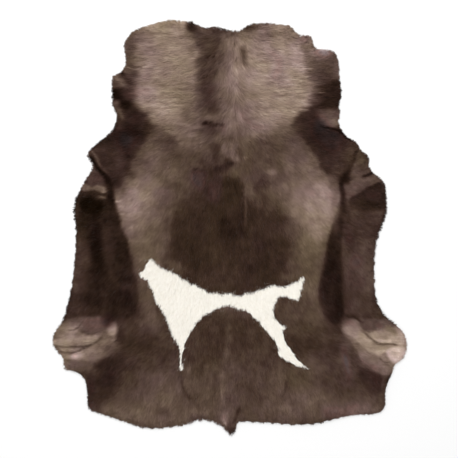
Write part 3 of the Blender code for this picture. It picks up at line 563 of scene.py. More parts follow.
    ("left hind leg, dark spot", -350, -261, 14, 17, 0, 0.03, 1.3, 0.92, 1.4),
    # Painted highlight on the left hind leg's rosy lobe.
    ("left hind leg, bright spot", -440, -365, 22, 9, 10, 1.32, 0.7, 0.85, 1.2),
    ("left hind leg, rosy lobe's end", -336, -345, 28, 23, 0, 0.36, -0.1, 0.85, 1.3),
    ("left hind leg, foot", -452, -391, 28, 11, 0, 0.62, 0.8, 0.8, 1.5),
    ("left hind leg, grey foot", -395, -402, 19, 17, 0, 0.34, -0.2, 0.8, 1.5),
    ("left hind leg, dark behind", -352, -391, 34, 17, 10, 0.11, -0.2, 0.9, 1.5),
    ("right hind leg, olive rim", 466, -292, 22, 8, -38, 0.60, -1.0, 0.8, 1.2),
    ("right hind leg, grey spot", 439, -268, 14, 5, 0, 0.60, 0.2, 0.7, 1.2),
    ("right hind leg, rosy head", 340, -270, 14, 8, 0, 0.58, 0.5, 0.7, 1.2),
    ("right hind leg, shade at its head", 357, -276, 16, 8, -30, 0.70, 0.4, 0.6, 1.3),
    ("right hind leg, shade under the band", 358, -328, 17, 9, -30, 0.62, 0.1, 0.6, 1.3),
    ("right hind leg's outer rim", 490, -322, 13, 34, 0, 1.14, 0.3, 0.8, 1.4),
    # Painted highlight at the rim of the right hind leg's pale lobe.
    ("right hind leg, pale lobe's rim", 491, -360, 12, 12, 0, 1.42, 0.6, 0.6, 1.4),
    ("right hind leg, light over the fold", 412, -309, 26, 7, 0, 1.00, 0.0, 0.6, 1.3),
    # Painted highlight along the right hind leg's pink fold.
    ("right hind leg, pink fold", 436, -322, 28, 5, -4, 1.20, 0.6, 0.7, 1.2),
    ("right hind leg, foot", 416, -402, 44, 10, -26, 0.54, 0.5, 0.8, 1.5),
    ("tail, pale side", -16, -544, 11, 13, 0, 0.78, 0.2, 0.8, 1.2),
    ("tail, dark tip", 9, -590, 13, 12, 0, 0.00, 0.0, 0.85, 1.5),
    ("tail, dark left slope", -45, -568, 9, 7, 0, 0.10, 0.0, 0.75, 1.4),
))

# Where a fold or crease sinks, its dark shade is painted shade in the fold; where a flap, ridge or
# rolled rim rises (sink below 0), its pale shade is painted light on it. Flat flecks, dots and ticks
# are the hair's own colour.
CREASES = tuple(Crease(*row) for row in (
    # place, half_width, shade, strength, sink, course
    ("neck, crossing", 7, 0.00, 1.0, 3.5, ((-80, 299), (-62, 301), (-45, 297), (-12, 295))),
    ("neck, crossing's head", 9, -0.10, 0.9, 1.0, ((-76, 305), (-50, 303))),
    ("neck, under it", 4, 0.24, 0.6, 1.0, ((-36, 283), (-22, 284))),
    ("neck, first dot", 5, -0.15, 0.9, 2.0, ((-67, 494), (-56, 492))),
    ("neck, second dot", 5, -0.15, 0.9, 2.0, ((-47, 494), (-44, 485))),
    ("neck, fleck at the dots", 3, 0.70, 0.7, 0.0, ((-78, 506), (-60, 505))),
    ("neck, fleck past the dots", 3, 0.62, 0.7, 0.0, ((-57, 481), (-49, 484))),
    ("neck, tick", 4, 0.02, 0.8, 1.5, ((-75, 433), (-60, 435))),
    ("neck, tick under it", 4, 0.10, 0.7, 1.5, ((-69, 347), (-58, 342))),
    ("neck, left corner", 4, 0.28, 0.8, 1.5, ((-296, 549), (-279, 541), (-260, 533))),
    ("neck, left corner, second", 4, 0.34, 0.8, 1.5, ((-298, 530), (-284, 522), (-260, 514))),
    ("neck, left side", 4, 0.38, 0.7, 1.5, ((-302, 488), (-280, 481), (-252, 478))),
    ("neck, left side, second", 4, 0.38, 0.7, 1.5, ((-302, 470), (-276, 463), (-245, 461))),
    ("neck, left side, third", 4, 0.48, 0.7, 1.5, ((-312, 456), (-286, 446), (-256, 444))),
    ("neck, left side, fourth", 4, 0.40, 0.7, 1.5, ((-292, 441), (-270, 432), (-248, 434))),
    ("neck, left side, fifth", 3, 1.02, 0.5, 0.0, ((-296, 463), (-272, 455), (-240, 454))),
    ("left lobe, long line", 4, 0.66, 0.6, 1.0, (
        (-223, 419), (-200, 410), (-170, 409), (-137, 414), (-97, 410),
    )),
    ("left lobe, fleck", 3, 1.30, 0.8, 0.0, ((-248, 462), (-222, 466))),
    ("left lobe, second fleck", 3, 1.15, 0.7, 0.0, ((-266, 458), (-252, 459))),
    ("left lobe, third fleck", 3, 1.15, 0.7, 0.0, ((-237, 503), (-216, 504))),
    ("left lobe, fourth fleck", 3, 1.20, 0.8, 0.0, ((-220, 434), (-209, 431))),
    ("left lobe, fifth fleck", 3, 1.20, 0.8, 0.0, ((-189, 377), (-171, 381))),
    ("left lobe, lower fleck", 3, 1.15, 0.7, 0.0, ((-214, 383), (-196, 386))),
    ("left lobe, tick", 3, 0.62, 0.7, 1.0, ((-188, 311), (-178, 306))),
    ("left lobe, tick at its foot", 4, 0.30, 0.7, 1.0, ((-176, 285), (-160, 280))),
    ("middle line, head", 4, 0.56, 0.6, 1.5, ((13, 548), (16, 519))),
    ("middle line", 15, 0.32, 0.9, 1.5, ((38, 522), (37, 506), (40, 490), (42, 466))),
    ("middle line, fleck", 3, 1.15, 0.8, 0.0, ((38, 466), (40, 446))),
    ("middle line, second fleck", 3, 1.10, 0.7, 0.0, ((15, 428), (24, 417))),
    ("middle line, third fleck", 3, 1.10, 0.7, 0.0, ((34, 425), (48, 432))),
    ("middle line, tick", 3, 0.46, 0.7, 1.0, ((28, 434), (46, 429))),
    ("middle line, lower ticks", 3, 0.45, 0.6, 1.0, ((20, 347), (30, 338), (40, 345))),
    ("middle line, last ticks", 3, 0.48, 0.6, 1.0, ((48, 338), (60, 347), (66, 338))),
    ("middle line, lowest fleck", 3, 1.00, 0.7, 1.0, ((34, 322), (36, 302))),
    ("right lobe, fleck", 3, 1.10, 0.7, 0.0, ((82, 379), (102, 360))),
    ("right lobe, second fleck", 3, 1.15, 0.7, 0.0, ((100, 328), (113, 322))),
    ("right lobe, rim tick", 6, 0.14, 0.8, 1.0, ((48, 581), (68, 577))),
    ("right lobe, second rim tick", 4, 0.12, 0.8, 1.0, ((96, 586), (110, 587))),
    ("right lobe, spot", 6, 0.40, 0.85, 1.5, ((112, 552), (130, 547))),
    ("right step, dot", 5, 0.05, 0.8, 1.5, ((217, 549), (224, 547))),
    ("right step, second dot", 5, 0.05, 0.8, 1.5, ((217, 534), (225, 533))),
    ("right step, its foot", 5, 0.30, 0.7, 1.5, ((214, 508), (222, 498), (220, 480))),
    ("right band, fleck", 3, 1.10, 0.7, 0.0, ((206, 458), (238, 457))),
    ("right band, second fleck", 3, 1.15, 0.7, 0.0, ((204, 435), (227, 433))),
    ("right band, tick", 3, 0.36, 0.7, 1.0, ((198, 428), (222, 427))),
    ("right band, third fleck", 3, 0.60, 0.8, 0.0, ((246, 389), (272, 389))),
    ("right band, foot's tick", 3, 0.26, 0.7, 1.0, ((204, 345), (228, 342))),
    ("right band, foot's fleck", 3, 1.10, 0.7, 0.0, ((175, 334), (194, 332))),
    # Painted light on the raised left flap, and painted shadow in the fold beside it.
    ("left flap", 11, 0.66, 0.9, -1.5, ((-330, 438), (-313, 422), (-299, 404))),
    ("left flap, beside it", 8, 0.02, 0.95, 3.0, ((-314, 452), (-299, 434), (-282, 417))),
    ("left tuft", 10, 0.46, 0.85, -1.5, ((-320, 342), (-312, 328), (-305, 312))),
    ("left tuft, above it", 7, 0.02, 0.8, 2.0, ((-334, 381), (-300, 371))),
    # Painted shadow under the right tuft.
    ("right tuft, under it", 5, -0.08, 0.97, 3.5, (
        (256, 298), (275, 289), (300, 285), (315, 281), (327, 268),
    )),
    ("left shoulder's rim", 9, -0.04, 0.8, 0.0, (
        (-330, 296), (-352, 274), (-378, 250), (-400, 226),
    )),
    ("left strip's dark rim", 10, -0.04, 0.8, 0.0, (
        (-444, 88), (-451, 50), (-450, 15), (-446, -18),
    )),
    ("right strip's dark rim", 9, 0.02, 0.8, 0.0, (
        (450, 60), (446, 30), (437, 0), (429, -33), (424, -52),
    )),
    ("right strip, dark foot of its rim", 9, -0.02, 0.75, 0.0, (
        (424, -196), (434, -225), (448, -248), (466, -266),
    )),
    ("right shoulder's rim", 5, -0.04, 0.8, 1.0, ((322, 276), (334, 259), (355, 251))),
    ("withers, pale line", 4, 0.66, 0.6, -1.0, ((-54, 257), (-24, 259))),
    ("withers, dark line", 4, 0.22, 0.8, 1.5, ((-27, 250), (-12, 257), (10, 258))),
    ("withers, tip of the block", 4, -0.05, 0.8, 1.5, ((-46, 209), (-40, 199))),
    ("withers, left line", 5, 0.08, 0.85, 2.0, ((-105, 168), (-90, 169), (-72, 165))),
    ("withers, middle line", 4, 0.22, 0.7, 1.0, ((-38, 190), (-6, 193))),
    ("withers, fleck", 3, 0.72, 0.7, 0.0, ((32, 203), (52, 203))),
    ("withers, right tick", 4, 0.20, 0.7, 1.5, ((58, 158), (68, 140))),
    ("left foreleg, rolled rim", 4, 0.52, 0.9, -2.0, (
        (-400, 224), (-390, 216), (-385, 208), (-379, 198), (-376, 187), (-370, 176),
    )),
    ("left foreleg", 11, -0.14, 0.97, 3.0, (
        (-405, 208), (-396, 200), (-387, 187), (-380, 174), (-371, 164), (-358, 150),
    )),
    ("left foreleg, foot", 9, -0.06, 0.8, 3.0, (
        (-362, 156), (-348, 144), (-340, 125), (-341, 100), (-339, 78), (-334, 60),
    )),
    ("left foreleg, fold's ridge", 4, 0.68, 0.8, -1.5, (
        (-384, 123), (-371, 119), (-360, 107),
    )),
    ("left foreleg, fleck", 4, 0.85, 0.8, -1.0, ((-366, 102), (-354, 107))),
    ("left foreleg, second fleck", 3, 0.75, 0.8, -1.0, ((-368, 118), (-357, 115))),
    ("left foreleg, lower fleck", 6, 0.72, 0.85, -1.0, ((-376, 92), (-355, 86))),
    ("left flank, fleck", 3, 1.25, 0.8, 0.0, ((-330, 77), (-311, 78))),
    ("left flank, second fleck", 3, 1.15, 0.7, 0.0, ((-316, 63), (-301, 62))),
    ("left flank, third fleck", 3, 1.15, 0.7, 0.0, ((-316, 41), (-302, 41))),
    ("left flank, tick", 4, 0.02, 0.8, 1.0, ((-347, 53), (-328, 53))),
    ("left flank, second tick", 4, 0.06, 0.8, 1.0, ((-345, 41), (-326, 42))),
    ("right foreleg", 6, -0.02, 0.92, 3.0, (
        (373, 228), (363, 218), (358, 209), (358, 197), (353, 185), (345, 173), (343, 161),
        (335, 152),
    )),
    ("right foreleg, foot", 12, -0.02, 0.95, 3.0, (
        (344, 165), (334, 152), (327, 141), (321, 131), (321, 120), (326, 104),
    )),
    ("right foreleg, runs back", 11, 0.04, 0.9, 2.0, (
        (325, 108), (329, 84), (329, 63), (331, 38),
    )),
    ("right foreleg, fleck", 4, 0.78, 0.8, -1.0, ((344, 132), (358, 136))),
    ("right foreleg, second fleck", 4, 0.66, 0.7, -1.0, ((349, 120), (364, 118))),
    ("right foreleg, short fold", 8, -0.04, 0.92, 2.5, ((381, 147), (399, 154), (418, 164))),
    ("right foreleg, long fold", 7, 0.02, 0.9, 3.0, (
        (346, 86), (366, 92), (381, 102), (396, 114), (410, 119), (427, 128), (446, 130),
    )),
    ("left hind leg, line in the band", 3, 0.52, 0.85, 1.5, (
        (-500, -335), (-479, -342), (-453, -339), (-425, -341), (-401, -335), (-387, -327),
    )),
    ("left hind leg, under the band", 4, 0.40, 0.8, 3.5, (
        (-507, -330), (-496, -344), (-488, -353), (-473, -358), (-453, -358), (-436, -353),
        (-419, -344), (-401, -337), (-384, -327), (-368, -314),
    )),
    ("left hind leg, over the band", 3, 0.36, 0.8, 1.5, (
        (-466, -291), (-448, -292), (-434, -284), (-422, -268),
    )),
    ("left hind leg, olive tick", 4, 0.40, 0.8, 1.5, ((-434, -288), (-421, -298), (-410, -295))),
    ("left hind leg, red line", 4, 0.38, 0.8, 1.5, ((-412, -304), (-387, -301), (-362, -290))),
    ("left hind leg, frayed end", 3, 1.05, 0.7, 0.0, ((-338, -318), (-324, -326))),
    ("left hind leg, end's tick", 3, 0.05, 0.8, 1.0, ((-334, -326), (-322, -321))),
    ("left hind leg, foot's rim", 4, 0.56, 0.7, -1.0, ((-414, -385), (-397, -378), (-380, -385))),
    ("right hind leg, over the band", 5, 0.12, 0.9, 3.0, (
        (329, -246), (342, -254), (355, -254), (365, -259), (378, -269),
    )),
    ("right hind leg, band's top", 4, 0.44, 0.85, 2.5, (
        (369, -271), (378, -283), (390, -292), (401, -298), (416, -291), (436, -289), (449, -286),
    )),
    ("right hind leg", 5, 0.48, 0.92, 3.5, (
        (384, -294), (399, -311), (412, -321), (423, -330), (436, -333), (452, -332), (467, -332),
        (485, -336),
    )),
    ("right hind leg, left edge", 5, 0.28, 0.6, 2.0, ((364, -330), (366, -355), (373, -386))),
    ("right hind leg, at the band", 3, 0.46, 0.7, 1.0, ((332, -304), (346, -313))),
    ("right hind leg, lower tick", 4, 0.40, 0.8, 1.5, ((429, -371), (443, -385), (458, -384))),
    ("right hind leg, lowest tick", 3, 0.44, 0.7, 1.0, ((436, -389), (459, -393))),
    ("right thigh, pale line", 4, 0.50, 0.7, 0.0, ((443, -424), (436, -461))),
    # Painted shadow: a black line along the right thigh's rim.
    ("right thigh, at the rim", 5, -0.04, 0.6, 2.0, ((465, -416), (457, -432), (450, -446))),
    ("rump, left of the tail", 5, 0.22, 0.8, 2.5, (
        (-140, -420), (-138, -445), (-128, -470), (-107, -492),
    )),
    ("rump, beside it", 8, 0.30, 0.7, 2.0, ((-99, -476), (-96, -500), (-86, -522))),
    ("rump, disc's right edge", 8, 0.30, 0.7, 2.0, (
        (162, -394), (167, -424), (162, -459), (150, -492),
    )),
    ("rump, right fleck", 3, 0.64, 0.6, 0.0, ((262, -487), (283, -486))),
    ("rump, right tick", 3, 0.24, 0.6, 1.0, ((264, -495), (285, -494))),
    ("rump, pale streak", 10, 0.55, 0.6, 0.0, ((-22, -400), (-20, -450), (-16, -520))),
    ("rump, pale streak's head", 15, 0.48, 0.6, 0.0, ((-4, -280), (-2, -330), (-18, -396))),
    ("spine, pale streak", 7, 0.42, 0.85, 0.0, ((46, 86), (47, 50), (45, 8))),
    ("rump, fleck in it", 3, 0.80, 0.6, 0.0, ((-24, -462), (-22, -488))),
    ("tail, pale tip", 7, 0.98, 0.8, 0.0, ((-20, -546), (-10, -566))),
    ("tail, dark side", 9, 0.14, 0.8, 1.5, ((30, -512), (20, -536), (12, -560))),
))

REACHES = tuple(Reach(*row) for row in (
    # place, across, along, half_across, half_along, past
    ("tail's tip", 6, -588, 24, 14, 6.0),
    ("left slope of the tail", -44, -566, 26, 14, 6.5),
    ("rump, left of the tail", -102, -557, 34, 14, 5.4),
    ("rump, left rim", -274, -570, 20, 12, 1.8),
    ("rump, middle of its left rim", -182, -570, 28, 12, -1.8),
    ("rump, left corner", -404, -516, 12, 16, 1.6),
    ("rump, right rim", 94, -560, 40, 16, -6.6),
    ("rump, right rim, its bend", 254, -560, 54, 18, -6.6),
    ("rump, right corner", 400, -536, 60, 16, -1.6),
    ("right thigh's rim", 446, -466, 18, 40, -5.2),
    ("over the right hind leg", 452, -254, 20, 24, 5.6),
    ("right rim", 440, 2, 24, 46, 3.2),
    ("right foreleg's rim", 424, 160, 14, 12, 2.0),
    ("left rim", -452, 62, 20, 32, 6.0),
    ("left rim, its lower half", -452, -154, 20, 26, -2.0),
    ("left shoulder", -345, 280, 32, 26, 3.0),
    ("left shoulder's corner", -400, 196, 18, 36, 2.6),
    ("left flap's rim", -338, 394, 14, 36, 3.4),
    ("neck, left corner", -302, 545, 20, 22, 3.4),
    ("neck, head of the dark middle", -106, 588, 14, 12, 2.6),
    ("neck, right of the middle", 20, 580, 18, 14, 3.4),
    ("neck, left of the middle", -58, 578, 12, 12, -1.8),
    ("neck, head of the left lobe", -143, 590, 14, 10, 2.2),
    ("neck, right corner", 292, 522, 14, 12, 1.8),
    ("neck, right band's rim", 326, 398, 12, 18, 2.2),
    ("right tuft's rim", 318, 334, 14, 34, -2.0),
    ("over the left hind leg", -472, -224, 16, 30, 1.4),
    ("left hind leg's upper rim", -488, -276, 20, 20, 4.2),
    ("left hind leg's lower rim", -508, -346, 14, 14, 3.6),
    ("left hind leg's foot", -470, -402, 16, 12, 1.8),
    ("neck, middle of its rim", -10, 574, 20, 14, 4.2),
    ("neck, right side", 322, 450, 16, 30, -1.2),
))

LAYS = tuple(Lay(*row) for row in (
    # along, middle, side
    (-600, 2, 20),
    (-400, 5, 50),
    (-330, 8, 80),
    (-200, 8, 42),
    (0, 10, 60),
    (180, 24, 80),
    (300, 74, 90),
    (600, 82, 94),
))

PATCH_EDGE = (
    # across, along
    (-262, -130), (-253, -124), (-246, -122), (-245, -111), (-238, -99), (-234, -90),
    (-229, -87), (-221, -90), (-209, -100), (-199, -111), (-189, -116), (-177, -120),
    (-162, -126), (-147, -134), (-140, -142), (-120, -151), (-113, -158), (-107, -161),
    (-98, -162), (-93, -167), (-82, -170), (-74, -175), (-66, -182), (-56, -185), (-35, -184),
    (-24, -189), (-8, -187), (5, -187), (14, -193), (32, -191), (43, -187), (68, -185),
    (81, -177), (99, -174), (109, -165), (117, -163), (133, -165), (147, -166), (161, -168),
    (171, -161), (187, -154), (197, -149), (206, -140), (215, -140), (218, -146), (213, -156),
    (208, -167), (205, -180), (204, -194), (200, -203), (193, -210), (184, -206), (173, -202),
    (164, -197), (154, -196), (143, -198), (134, -207), (129, -219), (125, -232), (125, -244),
    (128, -256), (136, -265), (146, -277), (160, -278), (164, -281), (161, -289), (157, -294),
    (152, -298), (155, -309), (158, -321), (164, -333), (172, -343), (179, -352), (186, -361),
    (193, -374), (208, -387), (218, -397), (232, -405), (216, -402), (200, -398), (184, -390),
    (170, -383), (157, -376), (146, -371), (140, -361), (140, -349), (136, -337), (132, -327),
    (124, -318), (116, -310), (108, -298), (98, -289), (91, -280), (85, -270), (75, -264),
    (67, -252), (58, -243), (44, -236), (27, -234), (8, -225), (-9, -223), (-27, -228),
    (-39, -233), (-50, -239), (-61, -245), (-71, -248), (-81, -255), (-88, -266), (-98, -276),
    (-106, -288), (-115, -302), (-123, -314), (-127, -325), (-130, -335), (-131, -347),
    (-135, -361), (-137, -377), (-137, -393), (-134, -399), (-134, -404), (-139, -409),
    (-145, -404), (-145, -399), (-142, -393), (-142, -377), (-142, -361), (-145, -348),
    (-148, -338), (-152, -330), (-158, -321), (-165, -315), (-169, -303), (-173, -290),
    (-177, -276), (-183, -260), (-190, -246), (-196, -233), (-209, -219), (-218, -202),
    (-221, -184), (-224, -173), (-231, -169), (-236, -160), (-237, -152), (-246, -147),
    (-256, -141),
)


class Pattern(IntEnum):
    """The first of the endless patterns of unevenness that each use of them reads."""

    SHADE = 0
    PATCH_ACROSS = 11
    PATCH_ALONG = 21
    TURN = 31
    TOUSLED = 41
    STREAK_ASIDE = 51
    STREAK_BACK = 52
    FIELD = 61
    COMBED_ASIDE = 71
    COMBED_BACK = 72
    BLUSH = 81


# What turns the crossings of a lattice into numbers that look like chance.
LATTICE_MIX = (127.1, 311.7)
TURN_MIX = 74.7
SCRAMBLE = 43758.5453


def uneven(spots: np.ndarray, spacing: float, turn: int) -> np.ndarray:
    """Give smooth unevenness from -1 to 1, the same each time, at spots of the floor.

    Args:
        spots: The spots, a row of at least two numbers each.
        spacing: The distance from one swell to the next.
        turn: Which of the endless patterns to read.

    Returns:
        One number for each spot.
    """
    places = spots[:, :2] / spacing
    low = np.floor(places)
    share = places - low
    share = share * share * (3 - 2 * share)
    mix_x, mix_y = LATTICE_MIX

    def lattice(step_x: int, step_y: int) -> np.ndarray:
        """Give the number of one crossing of the pattern's lattice."""
        mixed = (low[:, 0] + step_x) * mix_x + (low[:, 1] + step_y) * mix_y + turn * TURN_MIX
        return (np.sin(mixed) * SCRAMBLE) % 1

    near = lattice(0, 0) + (lattice(1, 0) - lattice(0, 0)) * share[:, 0]
    far = lattice(0, 1) + (lattice(1, 1) - lattice(0, 1)) * share[:, 0]
    return (near + (far - near) * share[:, 1]) * 2 - 1


def soft_step(start: float, end: float, values: np.ndarray) -> np.ndarray:
    """Rise smoothly from 0 at start to 1 at end.

    Args:
        start: The value at and before which the result is 0.
        end: The value at and past which the result is 1.
        values: The numbers to judge.

    Returns:
        One number from 0 to 1 for each value.
    """
    share = np.clip((values - start) / (end - start), 0, 1)
    return share * share * (3 - 2 * share)


def is_inside(spots: np.ndarray, outline: np.ndarray) -> np.ndarray:
    """Tell the spots inside a closed outline, by how many of its sides lie straight beside each.

    Args:
        spots: The spots, a row of two numbers each.
        outline: The outline's points.

    Returns:
        Whether each spot lies inside.
    """
    x, y = spots[:, 0], spots[:, 1]
    inside = np.zeros(len(spots), bool)
    for (x_0, y_0), (x_1, y_1) in zip(outline, np.roll(outline, -1, axis=0)):
        if y_0 == y_1:
            continue
        beside = (y_0 > y) != (y_1 > y)
        inside ^= beside & (x < (x_1 - x_0) * (y - y_0) / (y_1 - y_0) + x_0)
    return inside


def depth_inside(spots: np.ndarray, outline: np.ndarray) -> np.ndarray:
    """Give how deep each spot lies inside a closed outline; outside, the depth is below 0.

    Args:
        spots: The spots, a row of two numbers each.
        outline: The outline's points.

    Returns:
        One depth for each spot.
    """
    x, y = spots[:, 0], spots[:, 1]
    gap = np.full(len(spots), np.inf)
    for (x_0, y_0), (x_1, y_1) in zip(outline, np.roll(outline, -1, axis=0)):
        step_x, step_y = x_1 - x_0, y_1 - y_0
        share = ((x - x_0) * step_x + (y - y_0) * step_y) / (step_x**2 + step_y**2)
        share = np.clip(share, 0, 1)
        gap = np.minimum(gap, np.hypot(x - x_0 - share * step_x, y - y_0 - share * step_y))
    return np.where(is_inside(spots, outline), gap, -gap)


def rounded(outline: np.ndarray) -> np.ndarray:
    """Cut each corner of a closed outline, a quarter of each side from it."""
    ahead = np.roll(outline, -1, axis=0)
    pairs = np.stack([outline * 0.75 + ahead * 0.25, outline * 0.25 + ahead * 0.75], 1)
    return pairs.reshape(-1, 2)


class Grid:
    """Square cells over the floor, for maps that are read between the cells' middles.

    LAST is how many cells before the count of them the last spot lies that can be read.
    """

    LAST = 1.001

    def __init__(self, low: np.ndarray, high: np.ndarray, cell: float) -> None:
        """Lay the cells.

        Args:
            low: The corner where both coordinates are least.
            high: The opposite corner.
            cell: The side of a cell.
        """
        self.low = low
        self.high = high
        self.cell = cell
        self.columns, self.rows = np.ceil((high - low) / cell).astype(int) + 1

    def spots(self) -> np.ndarray:
        """List the middle of each cell, row by row."""
        x = self.low[0] + np.arange(self.columns) * self.cell
        y = self.low[1] + np.arange(self.rows) * self.cell
        return np.stack(np.meshgrid(x, y), 2).reshape(-1, 2)

    def shaped(self, values: np.ndarray) -> np.ndarray:
        """Turn a list with one value for each cell into a map."""
        return values.reshape(self.rows, self.columns)

    def read(self, cells: np.ndarray, spots: np.ndarray) -> np.ndarray:
        """Read a map between its cells.

        Args:
            cells: The map.
            spots: Where to read it.

        Returns:
            One number for each spot.
        """
        places = (spots[:, :2] - self.low) / self.cell
        places = np.clip(places, 0, np.array([self.columns, self.rows]) - self.LAST)
        low = places.astype(int)
        x, y = (places - low).T
        column, row = low.T
        near = cells[row, column] * (1 - x) + cells[row, column + 1] * x
        far = cells[row + 1, column] * (1 - x) + cells[row + 1, column + 1] * x
        return near * (1 - y) + far * y


class Relief:
    """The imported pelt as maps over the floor: how high it stands, and how far in from its rim.

    Distance from the rim is positive inside.
    """

    CELL = 0.0025
    MARGIN = 0.06
    RIM_HEIGHT = 0.0025
    LOOK_FROM = 0.2
    RIM_BLURS = 2
    CHUNK = 4000

    def __init__(self, node: bpy.types.Object) -> None:
        """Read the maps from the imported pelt.

        Args:
            node: The object of the pelt's solid.
        """
        solid = bmesh.new()
        solid.from_mesh(node.data)
        bmesh.ops.remove_doubles(solid, verts=solid.verts, dist=WELD)
        solid.normal_update()
        places = np.array([vert.co.xy for vert in solid.verts])
        self.grid = Grid(places.min(0) - self.MARGIN, places.max(0) + self.MARGIN, self.CELL)
        self.height_map = self._heights(solid)
        self._find_rim(solid)
        solid.free()
        self.sink_creases()

    def _heights(self, solid: bmesh.types.BMesh) -> np.ndarray:
        """Read the solid's height from above, with nothing where it isn't.

        Args:
            solid: The pelt's solid.

        Returns:
            The height in each cell, NaN outside the rim.
        """
        tree = BVHTree.FromBMesh(solid)
        down = Vector((0, 0, -1))
        found = [tree.ray_cast(Vector((x, y, self.LOOK_FROM)), down)[0] for x, y in self.grid.spots()]
        heights = [np.nan if hit is None else hit.z for hit in found]
        return self.grid.shaped(np.array(heights))

    def _find_rim(self, solid: bmesh.types.BMesh) -> None:
        """Fill the map of distances from the rim, and the heights just outside it.

        Args:
            solid: The pelt's solid.
        """
        ends = [
            [vert.co.xy for vert in edge.verts]
            for edge in solid.edges
            if max(vert.co.z for vert in edge.verts) < WELD
            and {round(face.normal.z) for face in edge.link_faces} == {-1, 0}
        ]
        start, stop = np.array(ends).transpose(1, 0, 2)
        step = stop - start
        spots = self.grid.spots()
        distance = np.empty(len(spots))
        for first in range(0, len(spots), self.CHUNK):
            past = spots[first : first + self.CHUNK, None] - start
            share = np.clip((past * step).sum(2) / (step**2).sum(1), 0, 1)
            gaps = np.linalg.norm(past - step * share[:, :, None], axis=2)
            distance[first : first + self.CHUNK] = gaps.min(1)
        inside = ~np.isnan(self.height_map)
        signed = np.where(inside, 1, -1) * distance.reshape(inside.shape)
        for _ in range(self.RIM_BLURS):
            signed = self._blurred(signed)
        self.rim_map = signed
        outward = np.gradient(-signed, self.CELL)
        self.out_maps = outward[1], outward[0]
        self.height_map = np.where(inside, self.height_map, self.RIM_HEIGHT)

    @staticmethod
    def _blurred(cells: np.ndarray) -> np.ndarray:
        """Soften a map by a quarter of each neighbour's share."""
        wide = np.pad(cells, 1, mode="edge")
        rows = (wide[:-2] + 2 * wide[1:-1] + wide[2:]) / 4
        return (rows[:, :-2] + 2 * rows[:, 1:-1] + rows[:, 2:]) / 4

    def sink_creases(self) -> None:
        """Press the fine creases into the height map."""
        spots = self.grid.spots()
        sunk = np.zeros(len(spots))
        for crease in CREASES:
            sunk += crease.sink * MM * line_share(spots, crease)
        self.height_map = self.height_map - self.grid.shaped(sunk)

    def height(self, spots: np.ndarray) -> np.ndarray:
        """Give the height of the coat's top at each spot."""
        return self.grid.read(self.height_map, spots)

    def inside(self, spots: np.ndarray) -> np.ndarray:
        """Give how far each spot lies in from the rim."""
        return self.grid.read(self.rim_map, spots)

    def outward(self, spots: np.ndarray) -> np.ndarray:
        """Give the way out to the nearest rim at each spot, as a row of two numbers."""
        way = np.stack([self.grid.read(cells, spots) for cells in self.out_maps], 1)
        return way / np.maximum(np.linalg.norm(way, axis=1, keepdims=True), WELD)


# Where a crease starts and ends to show, as shares of its length.
CREASE_START = (-0.1, 0.15)
CREASE_END = (1.1, 0.85)


def line_share(spots: np.ndarray, crease: Crease) -> np.ndarray:
    """Give how much of a crease each spot has: 1 on its middle and 0 past its width and ends.

    Args:
        spots: The spots, in metres.
        crease: The crease's row of the table.

    Returns:
        One number from 0 to 1 for each spot.
    """
    course = np.array(crease.course) * MM
    width = crease.half_width * MM
    steps = np.diff(course, axis=0)
    lengths = np.linalg.norm(steps, axis=1)
    near = ((spots > course.min(0) - width) & (spots < course.max(0) + width)).all(1)
    at = spots[near]
    gap = np.full(len(at), width)
    progress = np.zeros(len(at))
    for number, (start, step, length) in enumerate(zip(course, steps, lengths)):
        past = at - start
        share = np.clip(past @ step / length**2, 0, 1)
        away = np.linalg.norm(past - share[:, None] * step, axis=1)
        nearer = away < gap
        gap[nearer] = away[nearer]
        progress[nearer] = lengths[:number].sum() + share[nearer] * length
    progress /= lengths.sum()
    ends = soft_step(*CREASE_START, progress) * soft_step(*CREASE_END, progress)
    result = np.zeros(len(spots))
    result[near] = np.cos(gap / width * math.pi / 2) ** 2 * ends
    return result


